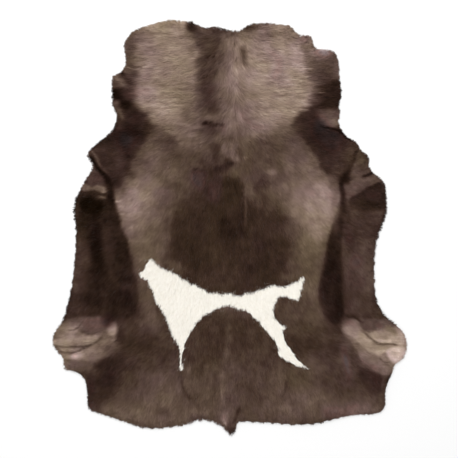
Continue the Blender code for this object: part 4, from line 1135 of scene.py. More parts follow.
class Coat:
    """What the coat is like at each spot: its shade, its blush, its white marking and its lay.
    Besides the hair's own tone, the shade holds painted shade in folds and hollows, and painted light
    on ridges, tufts and shiny lobes.

    A row of SWELLS or RAGGED is a spacing and how much it changes. STREAKS is a spacing and how
    many times longer than wide a streak is. TOUSLED is a middle and half sizes.
    """

    CELL = 0.002
    GROUND_SHADE = 0.27
    FIELD_RAGGED = (0.014, 0.006)
    STREAKS = (0.0048, 9.0)
    COMBED_LEVELS = (0.15, 0.25)
    STREAK_LEVELS = (0.15, 0.30)
    STREAK_DEPTHS = (0.10, 0.17)
    SHADE_SWELLS = ((0.055, 0.05), (0.021, 0.045), (0.009, 0.04))
    BLUSH_SWELLS = ((0.048, 0.55), (0.018, 0.35))
    PATCH_RAGGED = ((0.0075, 0.0022), (0.0035, 0.0014))
    MIDDLE_WIDTH = 0.05
    SIDE_FROM_MIDDLE = 0.42
    TURN_SWELLS = ((0.090, 8.0), (0.030, 6.0))
    TOUSLED = (0.0, 0.40, 0.11, 0.17)
    TOUSLED_TURN = 38.0
    TOUSLED_SPACING = 0.045
    RIM_FAN = 0.035
    FAN_SHARE = 0.55

    def __init__(self, relief: Relief) -> None:
        """Draw the maps of the coat's tints.

        Args:
            relief: The maps that the coat follows.
        """
        self.relief = relief
        self.grid = Grid(relief.grid.low, relief.grid.high, self.CELL)
        self.tint_maps = [self.grid.shaped(tint) for tint in self._drawn_tints()]

    def _drawn_tints(self) -> tuple[np.ndarray, np.ndarray]:
        """Lay the grounds, the fields, the spots and the creases over each other.

        Returns:
            The shade and the blush of each cell.
        """
        spots = self.grid.spots()
        tints = np.zeros((len(spots), 2))
        tints[:, 0] = self.GROUND_SHADE
        for zone in GROUNDS:
            self._lay_over(tints, zone, self._zone_share(spots, zone))
        for area in FIELDS:
            self._lay_over(tints, area, self._field_share(spots, area))
        for zone in SPOTS:
            self._lay_over(tints, zone, self._zone_share(spots, zone))
        for crease in CREASES:
            share = crease.strength * line_share(spots, crease)
            tints[:, 0] += (crease.shade - tints[:, 0]) * share
        return tints[:, 0], tints[:, 1]

    @staticmethod
    def _lay_over(tints: np.ndarray, area: Union[Zone, Field], share: np.ndarray) -> None:
        """Mix an area's tints into those that lie there."""
        tints += (np.array((area.shade, area.blush)) - tints) * share[:, None]

    @staticmethod
    def _zone_share(spots: np.ndarray, zone: Zone) -> np.ndarray:
        """Give how much of a zone's tint each spot takes.

        Args:
            spots: The spots, in metres.
            zone: The zone.

        Returns:
            One share for each spot.
        """
        turn = math.radians(zone.turn)
        past = spots - np.array((zone.across, zone.along)) * MM
        across = past[:, 0] * math.cos(turn) + past[:, 1] * math.sin(turn)
        along = past[:, 1] * math.cos(turn) - past[:, 0] * math.sin(turn)
        away = (across / zone.half_across / MM) ** 2 + (along / zone.half_along / MM) ** 2
        return zone.strength * np.exp(-math.log(2) * away**zone.edge)

    def _field_share(self, spots: np.ndarray, area: Field) -> np.ndarray:
        """Give how much of a field's tint each spot takes.

        Args:
            spots: The spots, in metres.
            area: The field.

        Returns:
            One share for each spot.
        """
        outline = rounded(np.array(area.outline) * MM)
        soft, ragged = area.soft * MM, area.ragged * MM
        reach = soft + ragged
        near = ((spots > outline.min(0) - reach) & (spots < outline.max(0) + reach)).all(1)
        at = spots[near].copy()
        for number, spacing in enumerate(self.FIELD_RAGGED):
            for axis in (0, 1):
                part = uneven(spots[near], spacing, Pattern.FIELD + 2 * number + axis)
                at[:, axis] += ragged * part / (1 + number)
        spacing, stretch = self.STREAKS
        combed = soft_step(*self.COMBED_LEVELS, spots[near][:, 1])
        aside = uneven(spots[near] * (1 / stretch, 1), spacing, Pattern.COMBED_ASIDE)
        back = uneven(spots[near] * (1, 1 / stretch), spacing, Pattern.COMBED_BACK)
        at[:, 0] += ragged * combed * aside
        at[:, 1] += ragged * (1 - combed) * back
        share = np.zeros(len(spots))
        share[near] = soft_step(-soft, soft, depth_inside(at, outline))
        return share

    def tints(self, spots: np.ndarray) -> tuple[np.ndarray, np.ndarray]:
        """Give the shade and blush of each spot, with the coat's own unevenness.

        Args:
            spots: The spots, in metres.

        Returns:
            The shade and the blush, on the scales that a zone's have.
        """
        shade, blush = (self.grid.read(cells, spots) for cells in self.tint_maps)
        depth = 1 + np.maximum(shade, 0)
        for number, (spacing, change) in enumerate(self.SHADE_SWELLS):
            shade = shade + depth * change * uneven(spots, spacing, Pattern.SHADE + number)
        for number, (spacing, change) in enumerate(self.BLUSH_SWELLS):
            blush = blush + change * uneven(spots, spacing, Pattern.BLUSH + number)
        return shade, blush

    def streaks(self, roots: np.ndarray, ways: np.ndarray) -> np.ndarray:
        """Give how much paler or darker each hair is than the coat, in streaks along the lay.

        Args:
            roots: The hairs' roots.
            ways: The way that each hair lies.

        Returns:
            One share for each hair, round 1.
        """
        spacing, stretch = self.STREAKS
        aside = uneven(roots * (1 / stretch, 1), spacing, Pattern.STREAK_ASIDE)
        back = uneven(roots * (1, 1 / stretch), spacing, Pattern.STREAK_BACK)
        depth = np.interp(roots[:, 1], self.STREAK_LEVELS, self.STREAK_DEPTHS)
        share = ways[:, 0] ** 2
        return 1 + depth * (aside * share + back * (1 - share))

    def white(self, spots: np.ndarray, ragged: bool = True) -> np.ndarray:
        """Tell the spots inside the white marking.

        Args:
            spots: The spots, in metres.
            ragged: Whether locks of hair break up the marking's edge.

        Returns:
            1 inside and 0 outside for each spot.
        """
        at = spots[:, :2].copy()
        if ragged:
            for number, (spacing, reach) in enumerate(self.PATCH_RAGGED):
                at[:, 0] += reach * uneven(spots, spacing, Pattern.PATCH_ACROSS + number)
                at[:, 1] += reach * uneven(spots, spacing, Pattern.PATCH_ALONG + number)
        return is_inside(at, np.array(PATCH_EDGE) * MM).astype(float)

    def lay(self, spots: np.ndarray) -> np.ndarray:
        """Give the way that the hair lies at each spot.

        Args:
            spots: The spots, in metres.

        Returns:
            A row of two numbers for each spot, of length 1.
        """
        rows = np.array(LAYS, float)
        middle = np.interp(spots[:, 1], rows[:, 0] * MM, rows[:, 1])
        side = np.interp(spots[:, 1], rows[:, 0] * MM, rows[:, 2])
        aside = np.tanh(spots[:, 0] / self.MIDDLE_WIDTH)
        out = soft_step(0, self.SIDE_FROM_MIDDLE, np.abs(spots[:, 0]))
        turn = aside * (middle + (side - middle) * out)
        for number, (spacing, change) in enumerate(self.TURN_SWELLS):
            turn += change * uneven(spots, spacing, Pattern.TURN + number)
        across, along, half_across, half_along = self.TOUSLED
        away = ((spots[:, 0] - across) / half_across) ** 2
        away += ((spots[:, 1] - along) / half_along) ** 2
        tousled = self.TOUSLED_TURN * np.exp(-away)
        turn += tousled * uneven(spots, self.TOUSLED_SPACING, Pattern.TOUSLED)
        angle = np.radians(turn)
        way = np.stack([np.sin(angle), -np.cos(angle)], 1)
        fan = self.FAN_SHARE * soft_step(self.RIM_FAN, 0, self.relief.inside(spots))[:, None]
        way = way * (1 - fan) + self.relief.outward(spots) * fan
        return way / np.linalg.norm(way, axis=1, keepdims=True)


class Value:
    """A socket's value in a material, on which arithmetic adds Math nodes."""

    def __init__(self, bench: Bench, socket: bpy.types.NodeSocket) -> None:
        """Wrap a socket that gives a value."""
        self.bench = bench
        self.socket = socket

    def _math(self, operation: str, first: Operand, second: Operand) -> Value:
        """Add a Math node for an operation on two values."""
        return self.bench.node("ShaderNodeMath", {"operation": operation}, {0: first, 1: second})

    def __add__(self, other: Operand) -> Value:
        """Add a value or a number."""
        return self._math("ADD", self, other)

    def __radd__(self, other: Operand) -> Value:
        """Add this value to a number."""
        return self._math("ADD", other, self)

    def __sub__(self, other: Operand) -> Value:
        """Take a value or a number away."""
        return self._math("SUBTRACT", self, other)

    def __rsub__(self, other: Operand) -> Value:
        """Take this value away from a number."""
        return self._math("SUBTRACT", other, self)

    def __mul__(self, other: Operand) -> Value:
        """Multiply by a value or a number."""
        return self._math("MULTIPLY", self, other)

    def __rmul__(self, other: Operand) -> Value:
        """Multiply a number by this value."""
        return self._math("MULTIPLY", other, self)


class Bench:
    """The node tree of one material, with the few ways in which the finishes add to it."""

    MIX_FACTOR, MIX_A, MIX_B, MIX_RESULT = 0, 6, 7, 2

    def __init__(self, name: str) -> None:
        """Start a material.

        Args:
            name: The material's name.
        """
        self.material = bpy.data.materials.new(name)
        self.material.use_nodes = True
        self.tree = self.material.node_tree
        self.tree.nodes.clear()

    def node(
        self,
        kind: str,
        settings: dict[str, Any] | None = None,
        sockets: dict[Any, Any] | None = None,
        output: int | str = 0,
    ) -> Value:
        """Add a node.

        Args:
            kind: The node's type.
            settings: What to set on it first; stops are a ramp's positions and colours.
            sockets: The value, number or colour of each input, by its name or number.
            output: The output that is wanted.

        Returns:
            The wanted output.
        """
        made = self.tree.nodes.new(kind)
        for name, setting in (settings or {}).items():
            if name == "stops":
                self._set_stops(made.color_ramp.elements, setting)
            else:
                setattr(made, name, setting)
        for name, given in (sockets or {}).items():
            if isinstance(given, Value):
                self.tree.links.new(given.socket, made.inputs[name])
            else:
                made.inputs[name].default_value = given
        return Value(self, made.outputs[output] if made.outputs else None)

    @staticmethod
    def _set_stops(elements: Any, stops: tuple[tuple[float, Colour], ...]) -> None:
        """Give a ramp its stops, of which the first two are there already."""
        for number, (position, colour) in enumerate(stops):
            if number >= len(elements):
                elements.new(position)
            elements[number].position = position
            elements[number].color = colour

    def attribute(self, name: str) -> Value:
        """Read a number that the mesh keeps at each vertex."""
        return self.node("ShaderNodeAttribute", {"attribute_name": name}, output="Fac")

    def ramp(self, value: Value, stops: tuple[tuple[float, Colour], ...]) -> Value:
        """Look a value up among colours."""
        return self.node("ShaderNodeValToRGB", {"stops": stops}, {0: value})

    def mix(self, factor: Operand, first: Any, second: Any, blend: str = "MIX") -> Value:
        """Mix two colours.

        Args:
            factor: How much of the second colour to take.
            first: A colour or a colour's socket.
            second: Another.
            blend: The way to mix them.

        Returns:
            The mixed colour.
        """
        settings = {"data_type": "RGBA", "blend_type": blend, "clamp_factor": True}
        sockets = {self.MIX_FACTOR: factor, self.MIX_A: first, self.MIX_B: second}
        return self.node("ShaderNodeMix", settings, sockets, self.MIX_RESULT)

    def noise(self, scale: float, detail: float) -> Value:
        """Read fine unevenness on the piece's own coordinates.

        Args:
            scale: How many swells there are to a metre.
            detail: How many finer swells lie on them.

        Returns:
            A value from 0 to 1.
        """
        place = self.node("ShaderNodeTexCoord", output="Object")
        sockets = {"Vector": place, "Scale": scale, "Detail": detail}
        return self.node("ShaderNodeTexNoise", None, sockets)

    def bump(self, height: Value, depth: float) -> Value:
        """Bend the surface's normal by a height, at most by a depth in metres."""
        return self.node("ShaderNodeBump", None, {"Height": height, "Distance": depth})

    def surface(self, sockets: dict[str, Any]) -> bpy.types.Material:
        """Finish the material with one shader.

        Args:
            sockets: What the shader's sockets are given.

        Returns:
            The material.
        """
        shader = self.node("ShaderNodeBsdfPrincipled", None, sockets)
        self.node("ShaderNodeOutputMaterial", None, {"Surface": shader})
        return self.material


SHADES = (
    # shade, the coat's colour at it
    (-0.2, paint(16, 8, 3)),
    (0.0, paint(31, 20, 14)),
    (0.25, paint(63, 46, 38)),
    (0.5, paint(95, 77, 66)),
    (0.75, paint(127, 107, 94)),
    (1.0, paint(159, 139, 124)),
    (1.3, paint(197, 177, 162)),
    (1.6, paint(232, 218, 208)),
)

BLUSHES = (
    # blush, what it multiplies the colour by
    (-1.0, (0.97, 1.02, 0.87, 1.0)),
    (0.0, (1.0, 1.0, 1.0, 1.0)),
    (0.6, (1.0, 0.975, 1.10, 1.0)),
    (1.0, (1.07, 0.94, 1.07, 1.0)),
    (2.0, (0.81, 0.985, 1.34, 1.0)),
)


def coat_brown(bench: Bench, shade: Value, light_kept: float) -> Value:
    """Look the coat's colour up by its shade and the blush that the mesh keeps.

    Args:
        bench: The material's bench.
        shade: The shade.
        light_kept: The share of the light that the piece's own small shadows leave it.

    Returns:
        The colour.
    """
    colours = []
    for value, rows, share in (
        (shade, SHADES, 1 / light_kept),
        (bench.attribute("blush"), BLUSHES, 1.0),
    ):
        low, high = rows[0][0], rows[-1][0]
        stops = tuple(((at - low) / (high - low), lit(colour, share)) for at, colour in rows)
        colours.append(bench.ramp((value - low) * (1 / (high - low)), stops))
    return bench.mix(1.0, *colours, "MULTIPLY")


@dataclass(frozen=True)
class HairFinish:
    """Dull, dry hair: dark at its root, pale at its tip, brown, taupe or white by its place."""

    roughness: float = 0.8
    specular: float = 0.0
    light_kept: float = 0.80
    root_dark: float = 0.76
    tip_pale: float = 0.10
    hair_apart: float = 0.13
    white_root: Colour = paint(240, 235, 225)
    white_tip: Colour = paint(253, 250, 243)
    white_from: float = 0.62
    white_step: float = 8.0

    def make(self) -> bpy.types.Material:
        """Make the material."""
        bench = Bench("hair")
        along, chance = bench.attribute("along"), bench.attribute("chance")
        shade = bench.attribute("shade") + (chance - 0.5) * self.hair_apart
        brown = coat_brown(bench, shade, self.light_kept)
        light = along * (1 - self.root_dark + self.tip_pale) + self.root_dark
        grey = bench.node("ShaderNodeCombineColor", None, {0: light, 1: light, 2: light})
        brown = bench.mix(1.0, brown, grey, "MULTIPLY")
        white = bench.mix(along, self.white_root, self.white_tip)
        inside = (bench.attribute("white") - self.white_from) * self.white_step
        colour = bench.mix(inside, brown, white)
        return bench.surface(
            {
                "Base Color": colour,
                "Roughness": self.roughness,
                "Specular IOR Level": self.specular,
            }
        )


@dataclass(frozen=True)
class UnderwoolFinish:
    """Matted wool under the hair, tinted like the hair above it, painted light and shade included,
    but duller.
    """

    roughness: float = 0.95
    light_kept: float = 0.86
    white: Colour = paint(240, 235, 225)
    fibre_scale: float = 420.0
    fibre_detail: float = 3.0
    fibre_depth: float = 0.0008
    fibre_tone: float = 0.2

    def make(self) -> bpy.types.Material:
        """Make the material."""
        bench = Bench("underwool")
        fibres = bench.noise(self.fibre_scale, self.fibre_detail)
        shade = bench.attribute("shade") + fibres * self.fibre_tone - self.fibre_tone / 2
        brown = coat_brown(bench, shade, self.light_kept)
        colour = bench.mix(bench.attribute("white"), brown, self.white)
        bump = bench.bump(fibres, self.fibre_depth)
        return bench.surface({"Base Color": colour, "Roughness": self.roughness, "Normal": bump})


@dataclass(frozen=True)
class SuedeFinish:
    """The undyed flesh side of the skin: cream suede with cloudy tones and a fine nap."""

    pale: Colour = paint(232, 222, 204)
    tan: Colour = paint(205, 187, 160)
    dark: Colour = paint(186, 165, 138)
    roughness: float = 0.93
    cloud_scale: float = 7.0
    cloud_detail: float = 4.0
    nap_scale: float = 900.0
    nap_detail: float = 2.0
    nap_depth: float = 0.0004
    nap_tone: float = 0.25
    edge_tone: float = 0.8

    def make(self) -> bpy.types.Material:
        """Make the material."""
        bench = Bench("suede")
        clouds = bench.noise(self.cloud_scale, self.cloud_detail)
        nap = bench.noise(self.nap_scale, self.nap_detail)
        colour = bench.mix(clouds, self.pale, self.tan)
        colour = bench.mix(bench.attribute("edge") * self.edge_tone, colour, self.dark)
        colour = bench.mix(nap * self.nap_tone, colour, self.dark)
        bump = bench.bump(nap, self.nap_depth)
        return bench.surface({"Base Color": colour, "Roughness": self.roughness, "Normal": bump})


@dataclass(frozen=True)
class FloorFinish:
    """A plain, pale, matt floor."""

    colour: Colour = (0.85, 0.85, 0.85, 1.0)
    roughness: float = 0.9

    def make(self) -> bpy.types.Material:
        """Make the material."""
        bench = Bench("floor")
        return bench.surface({"Base Color": self.colour, "Roughness": self.roughness})


def link_piece(name: str, mesh: bpy.types.Mesh) -> bpy.types.Object:
    """Put a finished mesh in the scene under the root, and hide the imported pelt.

    Args:
        name: The piece's name.
        mesh: Its mesh, in its place.

    Returns:
        The piece's object.
    """
    piece = bpy.data.objects.new(name, mesh)
    bpy.context.scene.collection.objects.link(piece)
    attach(piece, "root")
    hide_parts("pelt")
    LOG.info("%s: %d faces", name, len(mesh.polygons))
    return piece


def keep_numbers(mesh: bpy.types.Mesh, numbers: dict[str, np.ndarray]) -> None:
    """Keep numbers at a mesh's vertices for its material to read.

    Args:
        mesh: The mesh.
        numbers: One array for each name.
    """
    for name, values in numbers.items():
        made = mesh.attributes.new(name, "FLOAT", "POINT")
        made.data.foreach_set("value", values.astype(np.float32))


@dataclass
class PeltSheet:
    """The pelt's top, drawn in from the rim, from which the skin and the underwool are made."""

    relief: Relief
    node: bpy.types.Object
    rim_steps: int = 6
    spread_steps: int = 60
    spread_fade: float = 0.97
    level_within: float = 0.9
    shape_within: float = 1.2
    smoothing: float = 0.5

    def lifted(self, inset: float, cuts: int) -> bmesh.types.BMesh:
        """Take the top of the solid as a sheet of its own, with a smooth rim.

        Args:
            inset: How far inside the coat's rim the sheet ends.
            cuts: How often each edge is cut.

        Returns:
            The open sheet.
        """
        sheet = bmesh.new()
        sheet.from_mesh(self.node.data)
        bmesh.ops.remove_doubles(sheet, verts=sheet.verts, dist=WELD)
        under = [face for face in sheet.faces if min(vert.co.z for vert in face.verts) < WELD]
        bmesh.ops.delete(sheet, geom=under, context="FACES")
        loose = [vert for vert in sheet.verts if not vert.link_faces]
        bmesh.ops.delete(sheet, geom=loose, context="VERTS")
        self._draw_in(sheet, inset)
        bmesh.ops.join_triangles(
            sheet,
            faces=sheet.faces,
            angle_face_threshold=self.level_within,
            angle_shape_threshold=self.shape_within,
        )
        bmesh.ops.subdivide_edges(sheet, edges=sheet.edges, cuts=cuts, use_grid_fill=True)
        bmesh.ops.smooth_vert(
            sheet, verts=sheet.verts, factor=self.smoothing, use_axis_x=True, use_axis_y=True
        )
        sheet.verts.index_update()
        return sheet

    def _draw_in(self, sheet: bmesh.types.BMesh, inset: float) -> None:
        """Move the sheet's rim inward onto a smooth line, and spread the move over the sheet.

        Args:
            sheet: The open sheet.
            inset: How far inside the coat's rim the sheet ends.
        """
        sheet.verts.index_update()
        loop = self._rim_loop(sheet)
        places = np.array([vert.co.xy for vert in sheet.verts])
        rim = places[loop]
        for _ in range(self.rim_steps):
            rim = rim + self.relief.outward(rim) * (self.relief.inside(rim) - inset)[:, None]
        moves = np.zeros_like(places)
        moves[loop] = rim - places[loop]
        ends = np.array([[vert.index for vert in edge.verts] for edge in sheet.edges])
        degree = np.bincount(ends.ravel(), minlength=len(places))[:, None]
        for _ in range(self.spread_steps):
            total = np.zeros_like(moves)
            np.add.at(total, ends[:, 0], moves[ends[:, 1]])
            np.add.at(total, ends[:, 1], moves[ends[:, 0]])
            spread = total / degree * self.spread_fade
            spread[loop] = moves[loop]
            moves = spread
        for vert, move in zip(sheet.verts, moves):
            vert.co.xy = vert.co.xy + Vector(move)

    @staticmethod
    def _rim_loop(sheet: bmesh.types.BMesh) -> list[int]:
        """Walk round the sheet's rim and list its vertices' numbers in order."""
        first = next(edge for edge in sheet.edges if edge.is_boundary)
        start, at = first.verts
        loop, last = [start.index, at.index], first
        while at != start:
            last = next(edge for edge in at.link_edges if edge.is_boundary and edge != last)
            at = last.other_vert(at)
            loop.append(at.index)
        return loop[:-1]


@dataclass
class Skin:
    """The dressed skin: a thin suede sheet that lies on the floor and lifts under the ridges."""

    sheet: PeltSheet
    relief: Relief
    inset: float = 0.0045
    thickness: float = 0.0016
    back_coat: float = 0.0150
    neck_coat: float = 0.0210
    neck_from: float = 0.190
    neck_full: float = 0.400
    lift_share: float = 0.6
    rim_ease: float = 0.050
    edge_fade: float = 0.02
    sharp_from: float = 50.0
    cuts: int = 1

    def base_height(self, spots: np.ndarray) -> np.ndarray:
        """Give the coat's usual height at each spot."""
        return np.interp(
            spots[:, 1], (self.neck_from, self.neck_full), (self.back_coat, self.neck_coat)
        )

    def top(self, spots: np.ndarray) -> np.ndarray:
        """Give the height of the skin's upper side at each spot."""
        ridge = np.maximum(self.relief.height(spots) - self.base_height(spots), 0)
        ease = soft_step(0, self.rim_ease, self.relief.inside(spots))
        return self.thickness + ridge * self.lift_share * ease

    def build(self) -> bpy.types.Object:
        """Build the skin.

        Returns:
            The piece.
        """
        skin = self.sheet.lifted(self.inset, self.cuts)
        spots = np.array([vert.co for vert in skin.verts])
        for vert, height in zip(skin.verts, self.top(spots)):
            vert.co.z = height
        skin.normal_update()
        bmesh.ops.solidify(skin, geom=skin.faces, thickness=self.thickness)
        bmesh.ops.recalc_face_normals(skin, faces=skin.faces)
        mesh = bpy.data.meshes.new("skin")
        skin.to_mesh(mesh)
        skin.free()
        mesh.shade_smooth()
        mesh.set_sharp_from_angle(angle=math.radians(self.sharp_from))
        places = np.array([vert.co for vert in mesh.vertices])
        past_edge = np.maximum(self.relief.inside(places) - self.inset, 0)
        keep_numbers(mesh, {"edge": np.exp(-past_edge / self.edge_fade)})
        mesh.materials.append(SuedeFinish().make())
        return link_piece("skin", mesh)


@dataclass
class Underwool:
    """The wool under the hair: a low cushion on the skin, under every fold of the coat."""

    sheet: PeltSheet
    relief: Relief
    coat: Coat
    skin: Skin
    inset: float = 0.0015
    rounding: float = 0.028
    back_pile: float = 0.0045
    neck_pile: float = 0.0075
    rim_height: float = 0.0012
    clearance: float = 0.0002
    lowest: float = 0.0006
    cuts: int = 1

    def pile(self, spots: np.ndarray) -> np.ndarray:
        """Give how far the hair's top stands over the wool at each spot."""
        levels = (self.skin.neck_from, self.skin.neck_full)
        return np.interp(spots[:, 1], levels, (self.back_pile, self.neck_pile))

    def top(self, spots: np.ndarray) -> np.ndarray:
        """Give the height of the wool's upper side at each spot."""
        floor = self.skin.top(spots) + self.rim_height
        full = self.relief.height(spots) - self.pile(spots)
        inside = np.clip((self.relief.inside(spots) - self.inset) / self.rounding, 0, 1)
        return floor + np.maximum(full - floor, 0) * np.sqrt(1 - (1 - inside) ** 2)

    def build(self) -> bpy.types.Object:
        """Build the underwool.

        Returns:
            The piece.
        """
        wool = self.sheet.lifted(self.inset, self.cuts)
        top = wool.verts[:]
        raised = bmesh.ops.extrude_face_region(wool, geom=wool.faces[:])
        upper = [item for item in raised["geom"] if isinstance(item, bmesh.types.BMVert)]
        for verts, height_of in ((top, self._under), (upper, self.top)):
            spots = np.array([vert.co for vert in verts])
            for vert, height in zip(verts, height_of(spots)):
                vert.co.z = height
        bmesh.ops.recalc_face_normals(wool, faces=wool.faces)
        mesh = bpy.data.meshes.new("underwool")
        wool.to_mesh(mesh)
        wool.free()
        mesh.shade_smooth()
        places = np.array([vert.co for vert in mesh.vertices])
        shade, blush = self.coat.tints(places)
        white = self.coat.white(places, ragged=False)
        keep_numbers(mesh, {"shade": shade, "blush": blush, "white": white})
        mesh.materials.append(UnderwoolFinish().make())
        return link_piece("underwool", mesh)

    def _under(self, spots: np.ndarray) -> np.ndarray:
        """Give the height of the wool's underside, just over the skin, and low past its edge."""
        over = soft_step(self.inset, self.skin.inset, self.relief.inside(spots))
        return self.lowest + (self.skin.top(spots) + self.clearance - self.lowest) * over


class Growth(Enum):
    """The two kinds of hair: the dense coat, and the sparser, longer guard hair over it."""

    COAT = "coat"
    GUARD = "guard"


@dataclass(frozen=True)
class HairSizes:
    """The sizes of one kind of hair, in metres, and how high among the rest it may lie.

    Overhang is how far past the rim the longest tips reach.
    """

    back_length: float
    neck_length: float
    leg_length: float
    rim_share: float
    width: float
    lowest: float
    highest: float
    overhang: float


HAIR_SIZES = {
    Growth.COAT: HairSizes(0.016, 0.024, 0.011, 0.60, 0.00118, 0.0, 0.9, 0.0018),
    Growth.GUARD: HairSizes(0.020, 0.032, 0.012, 0.50, 0.0009, 0.6, 1.05, 0.0030),
}


@dataclass
class HairLayer:
    """One layer of the coat: thousands of tapered hairs, joined in one mesh over the whole hide.

    A hair has five corners, two at its root, two at its middle and one at its tip. BLADE and POINT
    are its two faces, and CORNERS says which of its three points each corner is at. LEG_ALONG,
    LEG_ACROSS, RIM_BAND and PAST_RIM say where a change starts and where it is full.
    """

    CORNERS: ClassVar[tuple[int, ...]] = (0, 0, 1, 1, 2)
    BLADE: ClassVar[tuple[int, ...]] = (1, 0, 3, 2)
    POINT: ClassVar[tuple[int, ...]] = (2, 3, 4)
    LOCK_MIX: ClassVar[tuple[float, float]] = (9127.1, 7311.7)
    JITTER_SHIFT: ClassVar[float] = 9.2
    JITTER_SCRAMBLE: ClassVar[float] = 24634.6345
    LENGTH_SHARES: ClassVar[tuple[float, float]] = (0.78, 1.18)
    WIDTH_SHARES: ClassVar[tuple[float, float]] = (0.75, 1.25)
    OVERHANG_SHARES: ClassVar[tuple[float, float]] = (0.35, 1.0)
    LEG_LEVEL: ClassVar[float] = -0.33
    LEG_ALONG: ClassVar[tuple[float, float]] = (0.10, 0.05)
    LEG_ACROSS: ClassVar[tuple[float, float]] = (0.36, 0.42)
    RIM_BAND: ClassVar[tuple[float, float]] = (0.045, 0.010)
    PAST_RIM: ClassVar[tuple[float, float]] = (0.002, -0.006)

    name: str
    growth: Growth
    seed: int
    relief: Relief
    coat: Coat
    wool: Underwool
    spacing: float = 0.00396
    lock_spacing: float = 0.0085
    lock_pull: float = 0.28
    lock_turn: float = 9.0
    hair_turn: float = 7.0
    roll: float = 24.0
    root_sink: float = 0.0008
    middle: float = 0.5
    root_width: float = 0.6
    root_inset: float = 0.0005
    shortest: float = 0.3
    lock_length: float = 0.22
    middle_pull: float = 0.4
    middle_sag: float = 0.22
    middle_rise: float = 0.25
    tip_sink: float = 0.9
    rim_tip: float = 0.0015
    rim_rise: float = 0.003
    lowest_tip: float = 0.0006

    def build(self, finish: bpy.types.Material) -> bpy.types.Object:
        """Build the layer.

        Args:
            finish: The hair's material.

        Returns:
            The piece.
        """
        chance = np.random.default_rng(self.seed)
        roots = self._roots(chance)
        ways, pull, lock_chance = self._locks(roots, chance)
        lengths = self._lengths(roots) * chance.uniform(*self.LENGTH_SHARES, len(roots))
        lengths *= 1 + self.lock_length * lock_chance
        points = self._courses(roots, ways, lengths, pull, chance)
        mesh = self._mesh(points, ways, chance)
        self._tint(mesh, points, ways, chance)
        mesh.materials.append(finish)
        return link_piece(self.name, mesh)

    def _roots(self, chance: np.random.Generator) -> np.ndarray:
        """Scatter the roots evenly over the underwool.

        Args:
            chance: The layer's own source of chance.

        Returns:
            A row of two numbers for each root.
        """
        corners = zip(self.relief.grid.low, self.relief.grid.high)
        x, y = (np.arange(low, high, self.spacing) for low, high in corners)
        roots = np.stack(np.meshgrid(x, y), 2).reshape(-1, 2)
        roots += chance.uniform(0, self.spacing, roots.shape)
        return roots[self.relief.inside(roots) > self.wool.inset + self.root_inset]

    def _locks(
        self, roots: np.ndarray, chance: np.random.Generator
    ) -> tuple[np.ndarray, np.ndarray, np.ndarray]:
        """Gather the hairs in locks, each round the nearest lock's middle.

        Args:
            roots: The hairs' roots.
            chance: The layer's own source of chance.

        Returns:
            The way that each hair lies, its gap to its lock's middle and its lock's own number
            from -1 to 1.
        """
        cell = np.floor(roots / self.lock_spacing)
        best = np.full(len(roots), np.inf)
        middle = np.zeros_like(roots)
        for step_x in (-1, 0, 1):
            for step_y in (-1, 0, 1):
                corner = cell + (step_x, step_y)
                mixed = corner @ np.array(LATTICE_MIX)
                across = np.sin(mixed) * SCRAMBLE
                along = np.sin(mixed + self.JITTER_SHIFT) * self.JITTER_SCRAMBLE
                spot = (corner + np.stack([across, along], 1) % 1) * self.lock_spacing
                gap = ((roots - spot) ** 2).sum(1)
                nearer = gap < best
                best[nearer] = gap[nearer]
                middle[nearer] = spot[nearer]
        own = (np.sin(middle @ np.array(self.LOCK_MIX)) * SCRAMBLE) % 1 * 2 - 1
        ways = self.coat.lay(roots)
        turn = np.radians(own * self.lock_turn + chance.normal(0, self.hair_turn, len(roots)))
        x, y = ways.T
        turned = np.stack(
            [x * np.cos(turn) - y * np.sin(turn), x * np.sin(turn) + y * np.cos(turn)], 1
        )
        return turned, roots - middle, own

    def _lengths(self, roots: np.ndarray) -> np.ndarray:
        """Give the usual length of the hair at each root.

        Args:
            roots: The hairs' roots.

        Returns:
            One length for each root.
        """
        sizes = HAIR_SIZES[self.growth]
        levels = (self.wool.skin.neck_from, self.wool.skin.neck_full)
        length = np.interp(roots[:, 1], levels, (sizes.back_length, sizes.neck_length))
        across, along = np.abs(roots[:, 0]), np.abs(roots[:, 1] - self.LEG_LEVEL)
        on_leg = soft_step(*self.LEG_ACROSS, across) * soft_step(*self.LEG_ALONG, along)
        length = length + (sizes.leg_length - length) * on_leg
        near_rim = soft_step(*self.RIM_BAND, self.relief.inside(roots))
        return length * (1 + (sizes.rim_share - 1) * near_rim)

    def _courses(
        self,
        roots: np.ndarray,
        ways: np.ndarray,
        lengths: np.ndarray,
        pull: np.ndarray,
        chance: np.random.Generator,
    ) -> np.ndarray:
        """Place each hair's root, middle and tip.

        Args:
            roots: The hairs' roots.
            ways: The way that each hair lies.
            lengths: Each hair's length.
            pull: Each root's gap to its lock's middle.
            chance: The layer's own source of chance.

        Returns:
            Three points for each hair, from its root to its tip.
        """
        sizes = HAIR_SIZES[self.growth]
        level = chance.uniform(sizes.lowest, sizes.highest, len(roots))
        lengths = self._trimmed(roots, ways, lengths, chance)
        tip = roots + ways * lengths[:, None] - pull * self.lock_pull
        half = roots + ways * (lengths * self.middle)[:, None]
        half = half - pull * self.lock_pull * self.middle_pull
        base = self.wool.top(roots) - self.root_sink
        pile = self.wool.pile(roots)
        half_top = self.relief.height(half) - (1 - level) * pile - self.middle_sag * pile
        tip_top = self.relief.height(tip) - (1 - level) * pile * self.tip_sink
        half_top = np.maximum(half_top, base + self.middle_rise * pile * level)
        outside = soft_step(*self.PAST_RIM, self.relief.inside(tip))
        tip_top = tip_top + (self.rim_tip + self.rim_rise * level - tip_top) * outside
        heights = base, half_top, np.maximum(tip_top, self.lowest_tip)
        spots = roots, half, tip
        return np.stack([np.column_stack(pair) for pair in zip(spots, heights)], 1)

